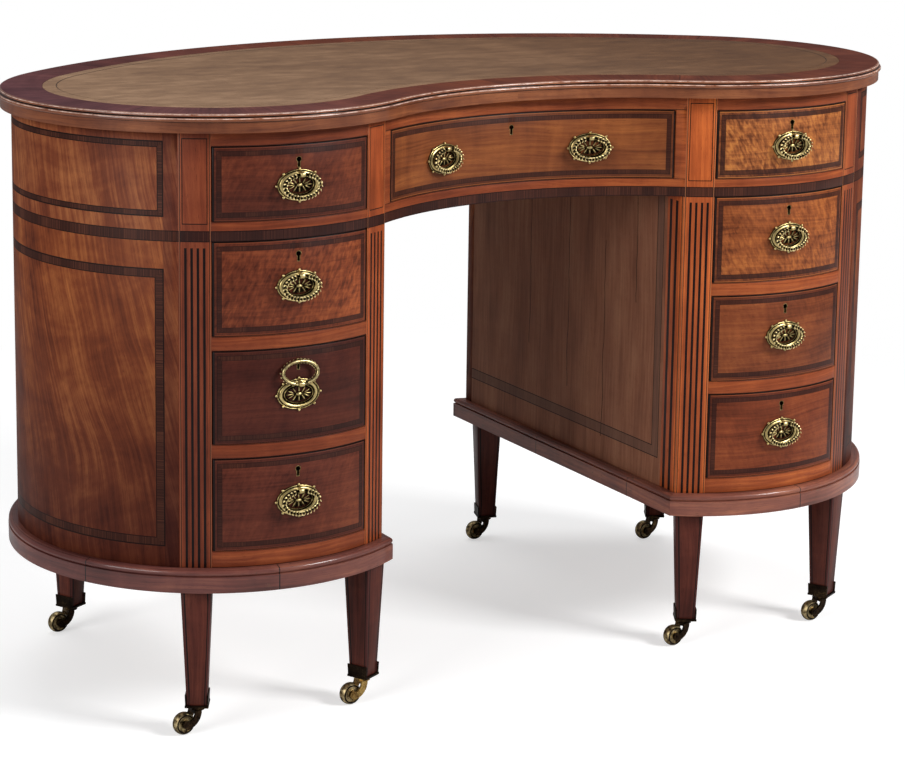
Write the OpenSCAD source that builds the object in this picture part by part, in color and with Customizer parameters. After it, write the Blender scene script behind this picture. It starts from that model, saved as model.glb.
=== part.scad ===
// Kneehole writing desk on a kidney-shaped plan.
// Two pedestals with bowed ends stand on tapered legs and castors, joined by a frieze with
// a hollow front. Nine drawers open towards -Y. The floor is z = 0, and x = 0 is the plane
// of symmetry. The origin is on the floor under the middle of the top.

/* [Plan] */
// Width of the top over its two round ends
top_w = 1222; // [1180:1:1270]
// Depth of the top from the front of its ends to the middle of its back
top_d = 648; // [636:1:664]
// Radius of the round ends of the top
end_r = 261; // [255:1:268]
// How far the hollow front of the top lies behind the ends
front_dip = 110; // [102:1:118]
// How far the top stands out over the carcase
overhang = 17; // [14:0.5:20]
// Width of each pedestal's drawer opening
opening_w = 202; // [190:1:210]
// Width of each front stile, measured along X
stile_w = 33.5; // [30:0.5:36]
// Width of the centre drawer's opening
centre_opening_w = 410; // [396:1:414]

/* [Heights] */
// Height from the floor to the foot of a leg
castor_h = 36; // [34:0.5:44]
// Length of a leg below the plinth
leg_h = 144; // [120:0.5:180]
// Height of the plinth
plinth_h = 27.5; // [24:0.5:34]
// Height of the rail between the plinth and the lowest drawer
base_rail_h = 20; // [16:0.5:26]
// Height of the openings of the three lower drawers
lower_drawer_h = 112; // [100:0.5:126]
// Height of the rails between the lower drawers
rail_h = 17; // [14:0.5:22]
// Height of the banded rail under the frieze drawers
frieze_rail_h = 23; // [19:0.5:28]
// Height of the openings of the frieze drawers
frieze_drawer_h = 87.5; // [84:0.5:100]
// Height of the rail above the frieze drawers
top_rail_h = 17; // [14:0.5:22]

/* [Top] */
// Height of the plain lower part of the top's edge
fascia_h = 13; // [10:0.5:16]
// How far the plain lower part lies behind the lower reed
fascia_step = 3; // [2:0.5:4]
// Radius of the two reeds on the top's edge
reed_r = 2.5; // [2:0.1:2.8]
// Width of the banded border round the leather
border_w = 55; // [45:1:65]
// Thickness of the leather
leather_t = 1.5; // [1:0.1:2.5]

/* [Carcase] */
// Thickness of the curved ends and back
end_t = 16; // [12:0.5:18]
// Thickness of the flat sides of the kneehole
side_t = 16; // [12:0.5:18]
// Depth of the front stiles behind the face
stile_t = 30; // [26:1:36]
// Depth of the front rails behind the face
rail_t = 40; // [38:1:50]
// Thickness of the dust boards under the drawers
dust_t = 9; // [6:0.5:12]
// Height of the strips that guide the drawers
guide_h = 14; // [10:0.5:20]
// Width of the outer drawer guides
guide_w = 14; // [10:0.5:18]
// Width of the runners and kickers of the centre drawer
runner_w = 30; // [24:1:36]
// Thickness of the runners of the centre drawer
runner_t = 15; // [10:0.5:18]
// Size of a drawer stop along X
stop_w = 30; // [20:1:40]
// Height of a drawer stop
stop_h = 4; // [3:0.5:5]

/* [Plinth] */
// How far the plinth stands out from the carcase
plinth_out = 12; // [9:0.5:13]
// Radius of the bead on the plinth's upper edge
plinth_bead = 4; // [3:0.1:4.5]
// Width of the plinth's frame
plinth_w = 66; // [60:1:74]

/* [Legs] */
// Width of a leg under the plinth
leg_w = 36; // [32:0.5:38]
// Width of a leg at the foot
foot_w = 24; // [22:0.5:28]
// Angle of the legs under the stiles, from the middle of each end
leg_angle = 29; // [27:0.5:31]
// Diameter of the dowel that holds a leg in the plinth
dowel_d = 18; // [14:0.5:22]
// Length of that dowel
dowel_h = 20; // [14:0.5:22]

/* [Drawers] */
// Thickness of the drawer fronts
front_t = 20; // [18:0.5:24]
// Thickness of the drawer sides and backs
drawer_side_t = 9; // [7:0.5:11]
// Thickness of the drawer bottoms
bottom_t = 6; // [4:0.5:8]
// Height of the drawer bottoms above the lower edge of the sides
bottom_rise = 6; // [5.5:0.5:9]
// How much lower the drawer sides are than the front
side_drop = 9; // [5:0.5:14]
// Depth of the pedestal drawers, over the bow of the front
drawer_d = 420; // [380:1:435]
// Depth of the centre drawer's sides from the ends of its front
centre_drawer_d = 470; // [430:1:490]
// Clearance at the sides and top of each drawer
drawer_gap = 0.8; // [0.5:0.1:1.5]
// Clearance under each drawer and at flat seats
seat_gap = 0.3; // [0.2:0.05:0.4]

/* [Brasses] */
// Width of the oval handle plate
plate_w = 59; // [52:0.5:64]
// Height of the oval handle plate
plate_h = 39; // [35:0.5:43]
// Thickness of the handle plate
plate_t = 1.6; // [1.2:0.1:2]
// Radius of the balls on the plate's rim
ball_r = 1.8; // [1.4:0.1:2.2]
// How far the middles of the balls lie outside the plate's edge
ball_out = 0.8; // [0.3:0.1:1]
// Number of balls on the plate's rim
balls = 8; // [6:2:10]
// Number of petals pierced in the plate
petals = 12; // [8:1:12]
// Width of the bail over its ends
bail_w = 52; // [46:0.5:55]
// Height of the bail from its knuckle pin to the bottom
bail_h = 29.4; // [26:0.1:32]
// Radius of the beads on the bail
bail_r = 2.8; // [2.2:0.1:2.9]
// Number of beads on the bail
beads = 23; // [17:2:27]
// Radius of the boss in the middle of the plate
boss_r = 2.6; // [2:0.1:3]
// Height of that boss over the plate
boss_h = 1.2; // [0.6:0.1:1.6]
// Distance of the knuckle pin from the drawer's face
pull_out = 8.6; // [8.2:0.1:10]
// Height of the knuckle pin above the middle of the plate
knuckle_z = 13; // [11:0.5:15]
// Radius of the knuckle pin
knuckle_pin_r = 1.5; // [1.2:0.1:1.8]
// Spacing of the two handles on the centre drawer
centre_pull_pitch = 212; // [180:1:240]
// How far the frieze drawers' handles lie below the middle of the front
frieze_pull_drop = 4; // [0:0.5:7]
// Lean of a raised bail beyond upright, in degrees
bail_lean = 8; // [5:0.5:10]
// Depth of the keyholes below the top of the drawer
key_drop = 19.5; // [17:0.5:24]
// Radius of the round part of a keyhole
key_r = 3; // [2.4:0.1:3.4]
// Width of a keyhole's slot
key_slot_w = 2.8; // [2.2:0.1:3.4]
// Reach of a keyhole's slot below the middle of its round part
key_slot_h = 9.5; // [8:0.5:11]
// Thickness of a keyhole's brass liner
key_rim = 0.6; // [0.5:0.1:0.9]
// Width of a lock case
lock_w = 48; // [40:1:56]
// Height of a lock case
lock_h = 32; // [28:1:36]
// How far a lock case lies below the top of the drawer's opening
lock_land = 3.5; // [2:0.5:6]
// Thickness of a lock case
lock_t = 8; // [6:0.5:9]

/* [Castors] */
// Diameter of a castor wheel
wheel_d = 27.5; // [25:0.5:29]
// Width of a castor wheel
wheel_w = 12; // [10:0.5:14]
// Distance of the wheel's axle behind the swivel
trail = 19; // [17:0.5:21]
// Thickness of the horn's cheeks
cheek_t = 2.6; // [2:0.1:3.2]
// Radius of the swivel's stem
stem_r = 3; // [2.5:0.1:3.5]
// Length of the stem inside the leg
stem_h = 22; // [16:0.5:28]
// Radius of the wheel's axle
axle_r = 2; // [1.6:0.1:2.4]
// Thickness of the plate under the foot
cup_t = 2.5; // [2:0.1:3]
// Height of the cup's two upright wings
wing_h = 13.5; // [10:0.5:16]
// Thickness of the cup's wings at the foot
wing_t = 1.5; // [1.2:0.1:2]
// How far the cup's plate stands out round the wings
rim_out = 0.6; // [0.4:0.1:1.2]
// Direction in which the castors trail, in degrees from +X
trail_angle = 185; // [0:1:359]

/* [Hidden] */

left = -1;
right = 1;
$fn = 72;
arc_fn = 240;
bead_fn = 24;
cut = 1;
satinwood = "#a5562c";
rail_wood = "#b8662f";
top_wood = "#7d3a22";
inner_wood = "#6b4330";
drawer_wood = "#94502b";
lining_wood = "#b98c5a";
leather_colour = "#7d6955";
brass = "#a08a4a";
dull_brass = "#5c4a30";

// Plan: all outlines are tangent arcs about the same four centres.
lobe_x = top_w / 2 - end_r;
back_bulge = top_d - 2 * end_r;
back_c = (pow(lobe_x, 2) - pow(back_bulge, 2)) / (2 * back_bulge);
back_r = norm([lobe_x, back_c]) + end_r;
front_c = (pow(lobe_x, 2) - pow(front_dip, 2)) / (2 * front_dip);
front_r = norm([lobe_x, front_c]) - end_r;
back_turn = atan2(back_c, lobe_x);
front_turn = atan2(front_c, lobe_x);

// Insets of the carcase's faces from the edge of the top
face_in = overhang;
wall_in = overhang + end_t;
stile_in = overhang + stile_t;
rail_in = overhang + rail_t;
front_in = overhang + front_t;
plinth_in = overhang - plinth_out;
half_open = opening_w / 2;
knee_x = lobe_x - half_open - stile_w;
stile_x = lobe_x + half_open + stile_w;
centre_half = centre_opening_w / 2;
face_r = end_r - face_in;
eye_r = 3.3;
lobe_y = (face_r + pull_out + eye_r + back_c - back_r) / 2;

// Heights above the floor
leg_top = castor_h + leg_h;
plinth_top = leg_top + plinth_h;
level_4 = plinth_top + base_rail_h;
level_3 = level_4 + lower_drawer_h + rail_h;
level_2 = level_3 + lower_drawer_h + rail_h;
frieze_z = level_2 + lower_drawer_h;
level_1 = frieze_z + frieze_rail_h;
top_rail_z = level_1 + frieze_drawer_h;
slab_z = top_rail_z + top_rail_h;
reed_lap = 0.3;
slab_t = fascia_h + 4 * reed_r - 2 * reed_lap;
joint_w = 0.1;
seam = 0.05;
// Reach of the wedge that holds the back's arc, in distances from the arc's centre to a lobe's
wedge = 4;
plinth_quirk = 0.3;
levels = [level_1, level_2, level_3, level_4];
opening_hs = [frieze_drawer_h, lower_drawer_h, lower_drawer_h, lower_drawer_h];

// Drawers and their brasses
frieze_pull_z = level_1 + frieze_drawer_h / 2 - frieze_pull_drop;
pull_zs = [frieze_pull_z, level_2 + lower_drawer_h / 2, level_3 + lower_drawer_h / 2,
           level_4 + lower_drawer_h / 2];
hollow_r = front_r + face_in;
hollow_y = lobe_y - front_c;
centre_pull_turn = asin(centre_pull_pitch / 2 / hollow_r);
housing = 6;
hollow_end_y = hollow_y + sqrt(pow(hollow_r, 2) - pow(centre_half, 2));
oval_fullness = 1.12;
petal_r = 3.6;
petal_c = 2.75;
petal_x = 0.155 * plate_w;
petal_z = 0.15 * plate_h;
eye_w = 6;
post_r = 2.2;
pin_gap = 0.06;
bail_b = (bail_h - bail_r) / 2;
bail_a = bail_w / 2 - bail_r;
bail_rod_r = 0.8 * bail_r;
eye_gap = 0.4;
pin_half = eye_w / 2 + eye_gap + bail_r;
eye_turn = asin(pin_half / bail_a) * (bail_a + bail_b) / (2 * bail_b);
liner_depth = 4;
liner_sunk = 0.1;

// Legs, numbered from the left end: outer front, inner front, outer back, inner back
leg_out = 4;
back_leg_out = 8;
knee_leg_in = 3;
back_leg_in = 1;
leg_r = face_r - leg_w / 2 + leg_out;
back_leg_r = face_r - leg_w / 2 + back_leg_out;
inner_leg_x = knee_x + leg_w / 2 + knee_leg_in;
inner_leg_r = back_r - face_in - leg_w / 2 - back_leg_in;
inner_leg_turn = asin(inner_leg_x / inner_leg_r);
leg_spots = [
    for (s = [left, right])
        each [
            [s * (lobe_x + leg_r * sin(leg_angle)), lobe_y - leg_r * cos(leg_angle), s * leg_angle],
            [s * (lobe_x - leg_r * sin(leg_angle)), lobe_y - leg_r * cos(leg_angle), -s * leg_angle],
            [s * (lobe_x + back_leg_r * sin(leg_angle)), lobe_y + back_leg_r * cos(leg_angle),
             -s * leg_angle],
            [s * inner_leg_x, lobe_y - back_c + inner_leg_r * cos(inner_leg_turn),
             -s * inner_leg_turn]
        ]
];
axle_z = wheel_d / 2;
horn_top = castor_h - cup_t - seat_gap;
horn_neck = 5;
cheek_gap = 0.6;
cheek_w = 8.5;
cheek_eye_r = 2.4 * axle_r;
bridge_h = 0.6 * horn_neck;
horn_ahead = 1;
horn_back = 0.75;
horn_c = [trail + horn_ahead, horn_top - horn_neck];
horn_r = horn_c[0] + horn_back;

// Outline of the top drawn in by a distance, as true arcs. The arcs between the round ends
// lie a hair inside the tangent, so that they cut the ends' circles cleanly.
module kidney(inset = 0) {
    for (s = [left, right])
        translate([s * lobe_x, lobe_y]) circle(r = end_r - inset, $fn = arc_fn);
    difference() {
        polygon([[-lobe_x, lobe_y], [0, lobe_y - front_c], [lobe_x, lobe_y]]);
        translate([0, lobe_y - front_c]) circle(r = front_r + inset + seam, $fn = arc_fn);
    }
    intersection() {
        translate([0, lobe_y - back_c]) circle(r = back_r - inset - seam, $fn = arc_fn);
        polygon([
            [-lobe_x, lobe_y], [lobe_x, lobe_y],
            [wedge * lobe_x, lobe_y + (wedge - 1) * back_c],
            [-wedge * lobe_x, lobe_y + (wedge - 1) * back_c]
        ]);
    }
}

// Angle that half a joint's width takes up on a radius
function kerf(r) = joint_w / r * 90 / PI;

// Moulding swept round the outline, in four lengths with fine joints where the arcs meet.
// The profile's x is 0 at the edge and negative inside.
module round_outline() {
    for (s = [left, right])
        translate([s * lobe_x, lobe_y, 0])
            mirror([s < 0 ? 1 : 0, 0, 0])
                swept_arc(end_r, front_turn - 180, back_turn) translate([end_r, 0]) children();
    translate([0, lobe_y - back_c, 0])
        swept_arc(back_r, back_turn, 180 - back_turn) translate([back_r, 0]) children();
    translate([0, lobe_y - front_c, 0])
        swept_arc(front_r, front_turn, 180 - front_turn)
            translate([front_r, 0]) mirror([1, 0]) children();
}

// Profile turned about Z from one angle to another, less half a joint at both ends
module swept_arc(r, a0, a1) {
    rotate([0, 0, a0 + kerf(r)])
        rotate_extrude(angle = a1 - a0 - 2 * kerf(r), $fn = arc_fn) children();
}

// Band of the plan between two insets
module band(outer_in, inner_in) {
    difference() {
        kidney(outer_in);
        kidney(inner_in);
    }
}

// Rectangle from one corner to the other
module field(x0, x1, y0, y1) {
    translate([x0, y0]) square([x1 - x0, y1 - y0]);
}

// Upright solid over a plan, from one height to another
module upright(z0, z1) {
    translate([0, 0, z0]) linear_extrude(height = z1 - z0) children();
}

// A piece of the right pedestal, or its mirror image on the left
module on_side(s) {
    mirror([s < 0 ? 1 : 0, 0, 0]) children();
}

// Zone of the front stiles, and of the rails between them, in the right pedestal
module stile_zone() {
    difference() {
        field(knee_x - cut, stile_x, lobe_y - end_r, lobe_y);
        kidney(stile_in);
    }
}

module rail_zone() {
    difference() {
        field(lobe_x - half_open, lobe_x + half_open, lobe_y - end_r, lobe_y);
        kidney(rail_in);
    }
}

// Top: a board with a plain lower edge and two reeds above it
module top_board() {
    core_in = 12;
    groove_in = 2.8 * reed_r;
    web_in = 1.75 * reed_r;
    reed_1_z = fascia_h + reed_r - reed_lap;
    reed_2_z = slab_t - reed_r;
    color(top_wood)
        difference() {
            translate([0, 0, slab_z])
                union() {
                    linear_extrude(height = slab_t) kidney(core_in);
                    round_outline()
                        union() {
                            field(-core_in - cut, -fascia_step, 0, fascia_h);
                            field(-core_in - cut, -groove_in, 0, slab_t);
                            translate([-reed_r, reed_1_z]) circle(r = reed_r);
                            translate([-2 * reed_r, reed_2_z]) circle(r = reed_r);
                            field(-core_in - cut, -web_in, reed_1_z, reed_2_z);
                        }
                }
            upright(slab_z + slab_t - leather_t, slab_z + slab_t + cut) kidney(border_w);
        }
}

// Leather let into the top
module leather_lining() {
    color(leather_colour)
        upright(slab_z + slab_t - leather_t, slab_z + slab_t) kidney(border_w + seat_gap);
}

// Curved veneered end that runs from the outer stile round to the kneehole's back
module end_panel(s) {
    color(satinwood)
        on_side(s)
            upright(plinth_top, slab_z)
                intersection() {
                    band(face_in, wall_in);
                    union() {
                        field(knee_x, top_w, lobe_y, top_d);
                        field(stile_x, top_w, -top_d, top_d);
                    }
                }
}

// Flat side of the kneehole
module inner_side(s) {
    color(inner_wood)
        on_side(s)
            upright(plinth_top, slab_z)
                difference() {
                    intersection() {
                        kidney(wall_in);
                        field(knee_x, knee_x + side_t, -top_d, top_d);
                    }
                    stile_zone();
                }
}

// Four stiles that flank the pedestal drawers
module front_stiles() {
    color(rail_wood)
        for (s = [left, right])
            on_side(s)
                upright(plinth_top, slab_z)
                    intersection() {
                        band(face_in, stile_in);
                        union() {
                            field(knee_x, lobe_x - half_open, -top_d, lobe_y);
                            field(lobe_x + half_open, stile_x, -top_d, lobe_y);
                        }
                    }
}

// Bowed rails above, between and below the drawers of one pedestal
module drawer_rails(s) {
    spans = [
        [plinth_top, level_4], [level_4 + lower_drawer_h, level_3],
        [level_3 + lower_drawer_h, level_2], [frieze_z, level_1], [top_rail_z, slab_z]
    ];
    color(rail_wood)
        on_side(s)
            for (span = spans)
                upright(span[0], span[1])
                    intersection() {
                        band(face_in, rail_in);
                        field(lobe_x - half_open, lobe_x + half_open, -top_d, lobe_y);
                    }
}

// Board under each pedestal drawer, with its side guides and stops
module dust_boards() {
    inner_x = knee_x + side_t;
    guide_end = lobe_y + face_r - drawer_side_t - wall_in;
    stop_in = (half_open - stop_w) / 2;
    stop_out = (half_open + stop_w) / 2;
    stop_end = lobe_y - sqrt(pow(face_r - rail_t, 2) - pow(stop_out, 2)) + housing;
    color(lining_wood)
        for (s = [left, right])
            on_side(s)
                for (level = levels) {
                    upright(level - dust_t, level)
                        difference() {
                            intersection() {
                                kidney(wall_in);
                                field(inner_x, top_w, -top_d, top_d);
                            }
                            stile_zone();
                            rail_zone();
                        }
                    upright(level, level + guide_h)
                        difference() {
                            intersection() {
                                kidney(wall_in + seat_gap);
                                union() {
                                    field(inner_x, lobe_x - half_open, -top_d, guide_end);
                                    field(lobe_x + half_open, lobe_x + half_open + guide_w,
                                          -top_d, guide_end);
                                }
                            }
                            stile_zone();
                        }
                    for (side = [left, right])
                        upright(level, level + stop_h)
                            intersection() {
                                kidney(front_in + seat_gap);
                                translate([lobe_x, 0])
                                    mirror([side < 0 ? 1 : 0, 0])
                                        field(stop_in, stop_out, -top_d, stop_end);
                            }
                }
}

// Front frame round the centre drawer, with its runners, guides and kickers
module centre_frame() {
    color(rail_wood)
        difference() {
            upright(frieze_z, slab_z)
                intersection() {
                    band(face_in, rail_in);
                    field(-knee_x, knee_x, -top_d, lobe_y);
                }
            upright(level_1, top_rail_z) field(-centre_half, centre_half, -top_d, top_d);
        }
    color(lining_wood)
        for (s = [left, right])
            on_side(s) {
                upright(level_1 - runner_t, level_1) centre_strip(knee_x - runner_w);
                upright(level_1, level_1 + guide_h) centre_strip(centre_half);
                upright(top_rail_z, slab_z) centre_strip(knee_x - runner_w);
            }
}

// Strip along the centre drawer's side, housed in the front frame and reaching the back
module centre_strip(x0) {
    housed_y = hollow_y + sqrt(pow(hollow_r + rail_t, 2) - pow(knee_x, 2)) - housing;
    back_y = lobe_y - back_c + sqrt(pow(back_r - wall_in, 2) - pow(knee_x, 2));
    field(x0, knee_x, housed_y, back_y);
}

// Curved back of the frieze across the kneehole
module back_frieze() {
    color(satinwood)
        upright(frieze_z, slab_z)
            intersection() {
                band(face_in, wall_in);
                field(-knee_x, knee_x, lobe_y, top_d);
            }
}

// Moulded plinth frame: a fascia under a bead, mitred at the kneehole's side
module plinth(s) {
    side_x = knee_x - plinth_out;
    core_in = plinth_in + 3 * plinth_bead;
    bead_z = plinth_h - plinth_bead - plinth_quirk;
    color(top_wood)
        difference() {
            on_side(s)
                translate([0, 0, leg_top])
                    intersection() {
                        union() {
                            linear_extrude(height = plinth_h) kidney(core_in);
                            round_outline()
                                plinth_profile(plinth_in, core_in - plinth_in + cut, bead_z);
                        }
                        translate([side_x, top_d, 0])
                            rotate([90, 0, 0])
                                linear_extrude(height = 2 * top_d)
                                    mirror([1, 0]) plinth_profile(0, top_w, bead_z + seam);
                    }
            on_side(s)
                upright(leg_top - cut, plinth_top + cut)
                    intersection() {
                        kidney(plinth_in + plinth_w);
                        field(side_x + plinth_w, top_w, -top_d, top_d);
                    }
            for (spot = leg_spots)
                if (spot[0] * s > 0)
                    translate([spot[0], spot[1], leg_top - cut])
                        cylinder(d = dowel_d + 2 * seat_gap, h = dowel_h + cut + seat_gap);
        }
}

// Section of the plinth's edge: a fascia, a bead and a fillet behind it
module plinth_profile(inset, depth, bead_z) {
    fillet_in = 1.4 * plinth_bead;
    field(-inset - depth, -inset, 0, bead_z - plinth_bead + plinth_quirk);
    translate([-inset - plinth_bead - plinth_quirk, bead_z]) circle(r = plinth_bead);
    field(-inset - depth, -inset - fillet_in, 0, plinth_h);
}

// Square tapered bar standing on its narrow end
module tapered_bar(w_low, w_high, h) {
    section = [[-w_low / 2, 0], [w_low / 2, 0], [w_high / 2, h], [-w_high / 2, h]];
    intersection() {
        rotate([90, 0, 0]) translate([0, 0, -w_high]) linear_extrude(2 * w_high) polygon(section);
        rotate([90, 0, 90]) translate([0, 0, -w_high]) linear_extrude(2 * w_high) polygon(section);
    }
}

// Eight tapered legs, each with a dowel above and a socket for its castor's stem
module legs() {
    color(drawer_wood)
        for (spot = leg_spots)
            translate([spot[0], spot[1], castor_h])
                rotate([0, 0, spot[2]])
                    difference() {
                        union() {
                            tapered_bar(foot_w, leg_w, leg_h);
                            translate([0, 0, leg_h - cut]) cylinder(d = dowel_d, h = dowel_h + cut);
                        }
                        translate([0, 0, -cut])
                            cylinder(r = stem_r + seat_gap, h = stem_h + cut + seat_gap);
                    }
}

// Cast plate under each foot, with two wings up the sides of the leg
module castor_cups() {
    wing_rate = (leg_w - foot_w) / leg_h;
    cup_w = foot_w + 2 * wing_t;
    rim_w = cup_w + 2 * rim_out;
    color(dull_brass)
        for (spot = leg_spots)
            translate([spot[0], spot[1], castor_h])
                rotate([0, 0, spot[2]])
                    difference() {
                        union() {
                            translate([-rim_w / 2, -rim_w / 2, -cup_t]) cube([rim_w, rim_w, cup_t]);
                            translate([0, 0, -cut])
                                tapered_bar(cup_w, cup_w + wing_rate * wing_h, wing_h + cut);
                        }
                        tapered_bar(foot_w + seat_gap, leg_w + seat_gap, leg_h);
                        translate([-foot_w / 2 - seat_gap, -cup_w, 0])
                            cube([foot_w + 2 * seat_gap, 2 * cup_w, leg_h]);
                        translate([0, 0, -cup_t - cut]) cylinder(r = stem_r + pin_gap, h = 3 * cup_t);
                    }
}

// Swivelling horn of one castor: stem, neck and two curved cheeks with the axle
module horn(i) {
    spot = leg_spots[i - 1];
    cheek_y = wheel_w / 2 + cheek_gap;
    color(dull_brass)
        translate([spot[0], spot[1], 0])
            rotate([0, 0, trail_angle]) {
                cylinder_between(stem_r, horn_top - cut, castor_h + stem_h);
                cylinder_between(cheek_w, horn_top - horn_neck, horn_top);
                translate([-horn_back, -cheek_y - cheek_t, horn_top - horn_neck - bridge_h])
                    cube([cheek_w, 2 * (cheek_y + cheek_t), bridge_h + cut]);
                for (s = [left, right])
                    translate([0, s * (cheek_y + cheek_t / 2) + cheek_t / 2, 0])
                        rotate([90, 0, 0])
                            linear_extrude(height = cheek_t) cheek();
                translate([trail, cheek_y + cheek_t + axle_r / 2, axle_z])
                    rotate([90, 0, 0])
                        cylinder(r = axle_r, h = 2 * (cheek_y + cheek_t) + axle_r);
            }
}

// Side view of a cheek: a quarter ring from the neck round to the axle's eye
module cheek() {
    intersection() {
        translate(horn_c)
            difference() {
                circle(r = horn_r);
                circle(r = horn_r - cheek_w);
            }
        field(horn_c[0] - horn_r - cut, horn_c[0], 0, horn_c[1]);
    }
    translate([trail, axle_z]) circle(r = cheek_eye_r);
}

// Upright cylinder from one height to another
module cylinder_between(r, z0, z1) {
    translate([0, 0, z0]) cylinder(r = r, h = z1 - z0);
}

// Turned brass wheel with a crowned tread and a dished face
module wheel(i) {
    spot = leg_spots[i - 1];
    crown_r = 0.75 * wheel_w;
    dish_x = wheel_w / 2 - 0.12 * wheel_w;
    hub_r = 2.6 * axle_r;
    dish_r = 0.36 * wheel_d;
    color(brass)
        translate([spot[0], spot[1], 0])
            rotate([0, 0, trail_angle])
                translate([trail, 0, axle_z])
                    rotate([90, 0, 0])
                        rotate_extrude()
                            difference() {
                                intersection() {
                                    field(axle_r + pin_gap, wheel_d / 2, -wheel_w / 2, wheel_w / 2);
                                    union() {
                                        field(0, wheel_d / 2 - crown_r, -wheel_w, wheel_w);
                                        translate([wheel_d / 2 - crown_r, 0]) circle(r = crown_r);
                                    }
                                }
                                field(hub_r, dish_r, dish_x, wheel_w);
                                field(hub_r, dish_r, -wheel_w, -dish_x);
                            }
}

// Keyhole outline about the middle of its round part, grown by an amount
module keyhole(grow) {
    circle(r = key_r + grow);
    translate([-key_slot_w / 2 - grow, -key_slot_h - grow])
        square([key_slot_w + 2 * grow, key_slot_h + grow]);
}

// Keyhole passage along Y at a drawer front's face
module keyhole_bore(x, y0, y1, z, grow) {
    translate([x, y1, z])
        rotate([90, 0, 0])
            linear_extrude(height = y1 - y0) keyhole(grow);
}

// Mortise for a lock, or the lock case itself, behind a drawer front's face
module lock_block(x, y_back, top_z, grow) {
    translate([x - lock_w / 2 - grow, y_back - lock_t - grow, top_z - lock_land - lock_h - grow])
        cube([lock_w + 2 * grow, lock_t + 2 * grow, lock_h + 2 * grow]);
}

// Dovetailed box behind a front: two sides, a back and a bottom, in plan and height
module drawer_box(x0, x1, y_end, z0, h) {
    side_h = h - side_drop;
    inside = [x0 + drawer_side_t, x1 - drawer_side_t];
    color(lining_wood) {
        for (x = [x0, x1 - drawer_side_t])
            upright(z0, z0 + side_h)
                intersection() {
                    kidney(front_in);
                    field(x, x + drawer_side_t, -top_d, y_end);
                }
        upright(z0 + bottom_rise + bottom_t, z0 + side_h)
            field(inside[0], inside[1], y_end - drawer_side_t, y_end);
        upright(z0 + bottom_rise, z0 + bottom_rise + bottom_t)
            intersection() {
                kidney(front_in);
                field(inside[0], inside[1], -top_d, y_end);
            }
    }
}

// One drawer of a pedestal, with a bowed front pierced for its lock
module pedestal_drawer(s, i) {
    z0 = levels[i - 1] + seat_gap;
    h = opening_hs[i - 1] - seat_gap - drawer_gap;
    top_z = levels[i - 1] + opening_hs[i - 1];
    half_w = half_open - drawer_gap;
    front_y = lobe_y - face_r;
    color(drawer_wood)
        on_side(s)
            difference() {
                upright(z0, z0 + h)
                    intersection() {
                        band(face_in, front_in);
                        field(lobe_x - half_w, lobe_x + half_w, -top_d, lobe_y);
                    }
                keyhole_bore(lobe_x, front_y - cut, front_y + front_t + cut, top_z - key_drop, key_rim);
                lock_block(lobe_x, front_y + front_t, top_z, seat_gap);
            }
    on_side(s) drawer_box(lobe_x - half_w, lobe_x + half_w, front_y + drawer_d, z0, h);
}

// Centre drawer, with a hollow front
module centre_drawer() {
    z0 = level_1 + seat_gap;
    h = frieze_drawer_h - seat_gap - drawer_gap;
    top_z = level_1 + frieze_drawer_h;
    half_w = centre_half - drawer_gap;
    front_y = hollow_y + hollow_r;
    color(drawer_wood)
        difference() {
            upright(z0, z0 + h)
                intersection() {
                    band(face_in, front_in);
                    field(-half_w, half_w, -top_d, lobe_y);
                }
            keyhole_bore(0, front_y - cut, front_y + front_t + cut, top_z - key_drop, key_rim);
            lock_block(0, front_y + front_t, top_z, seat_gap);
        }
    drawer_box(-half_w, half_w, hollow_end_y + centre_drawer_d, z0, h);
}

// Oval of half axes a and b: arcs of radius side_r between two end circles
module oval(a, b) {
    end_c = a - oval_end_r(a, b);
    side_reach = 0.3 * b;
    side_r = oval_side_r(a, b);
    for (s = [left, right])
        translate([s * end_c, 0]) circle(r = oval_end_r(a, b));
    intersection() {
        translate([0, b - side_r]) circle(r = side_r, $fn = arc_fn);
        translate([0, side_r - b]) circle(r = side_r, $fn = arc_fn);
        field(-end_c - side_reach, end_c + side_reach, -b, b);
    }
}

// Radii of an oval's ends and sides
function oval_end_r(a, b) = oval_fullness * b * b / a;
function oval_side_r(a, b) = (pow(a - oval_end_r(a, b), 2) + b * b - pow(oval_end_r(a, b), 2))
    / (2 * (b - oval_end_r(a, b)));

// Places a handle: the local -Y axis leaves the drawer's face
module at_pull(x, y, z, turn) {
    translate([x, y, z]) rotate([0, 0, turn]) children();
}

module at_pedestal_pull(s, i) {
    at_pull(s * lobe_x, lobe_y - face_r, pull_zs[i - 1], 0) children();
}

module at_centre_pull(s) {
    at_pull(s * hollow_r * sin(centre_pull_turn), hollow_y + hollow_r * cos(centre_pull_turn),
            frieze_pull_z, -s * centre_pull_turn) children();
}

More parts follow.
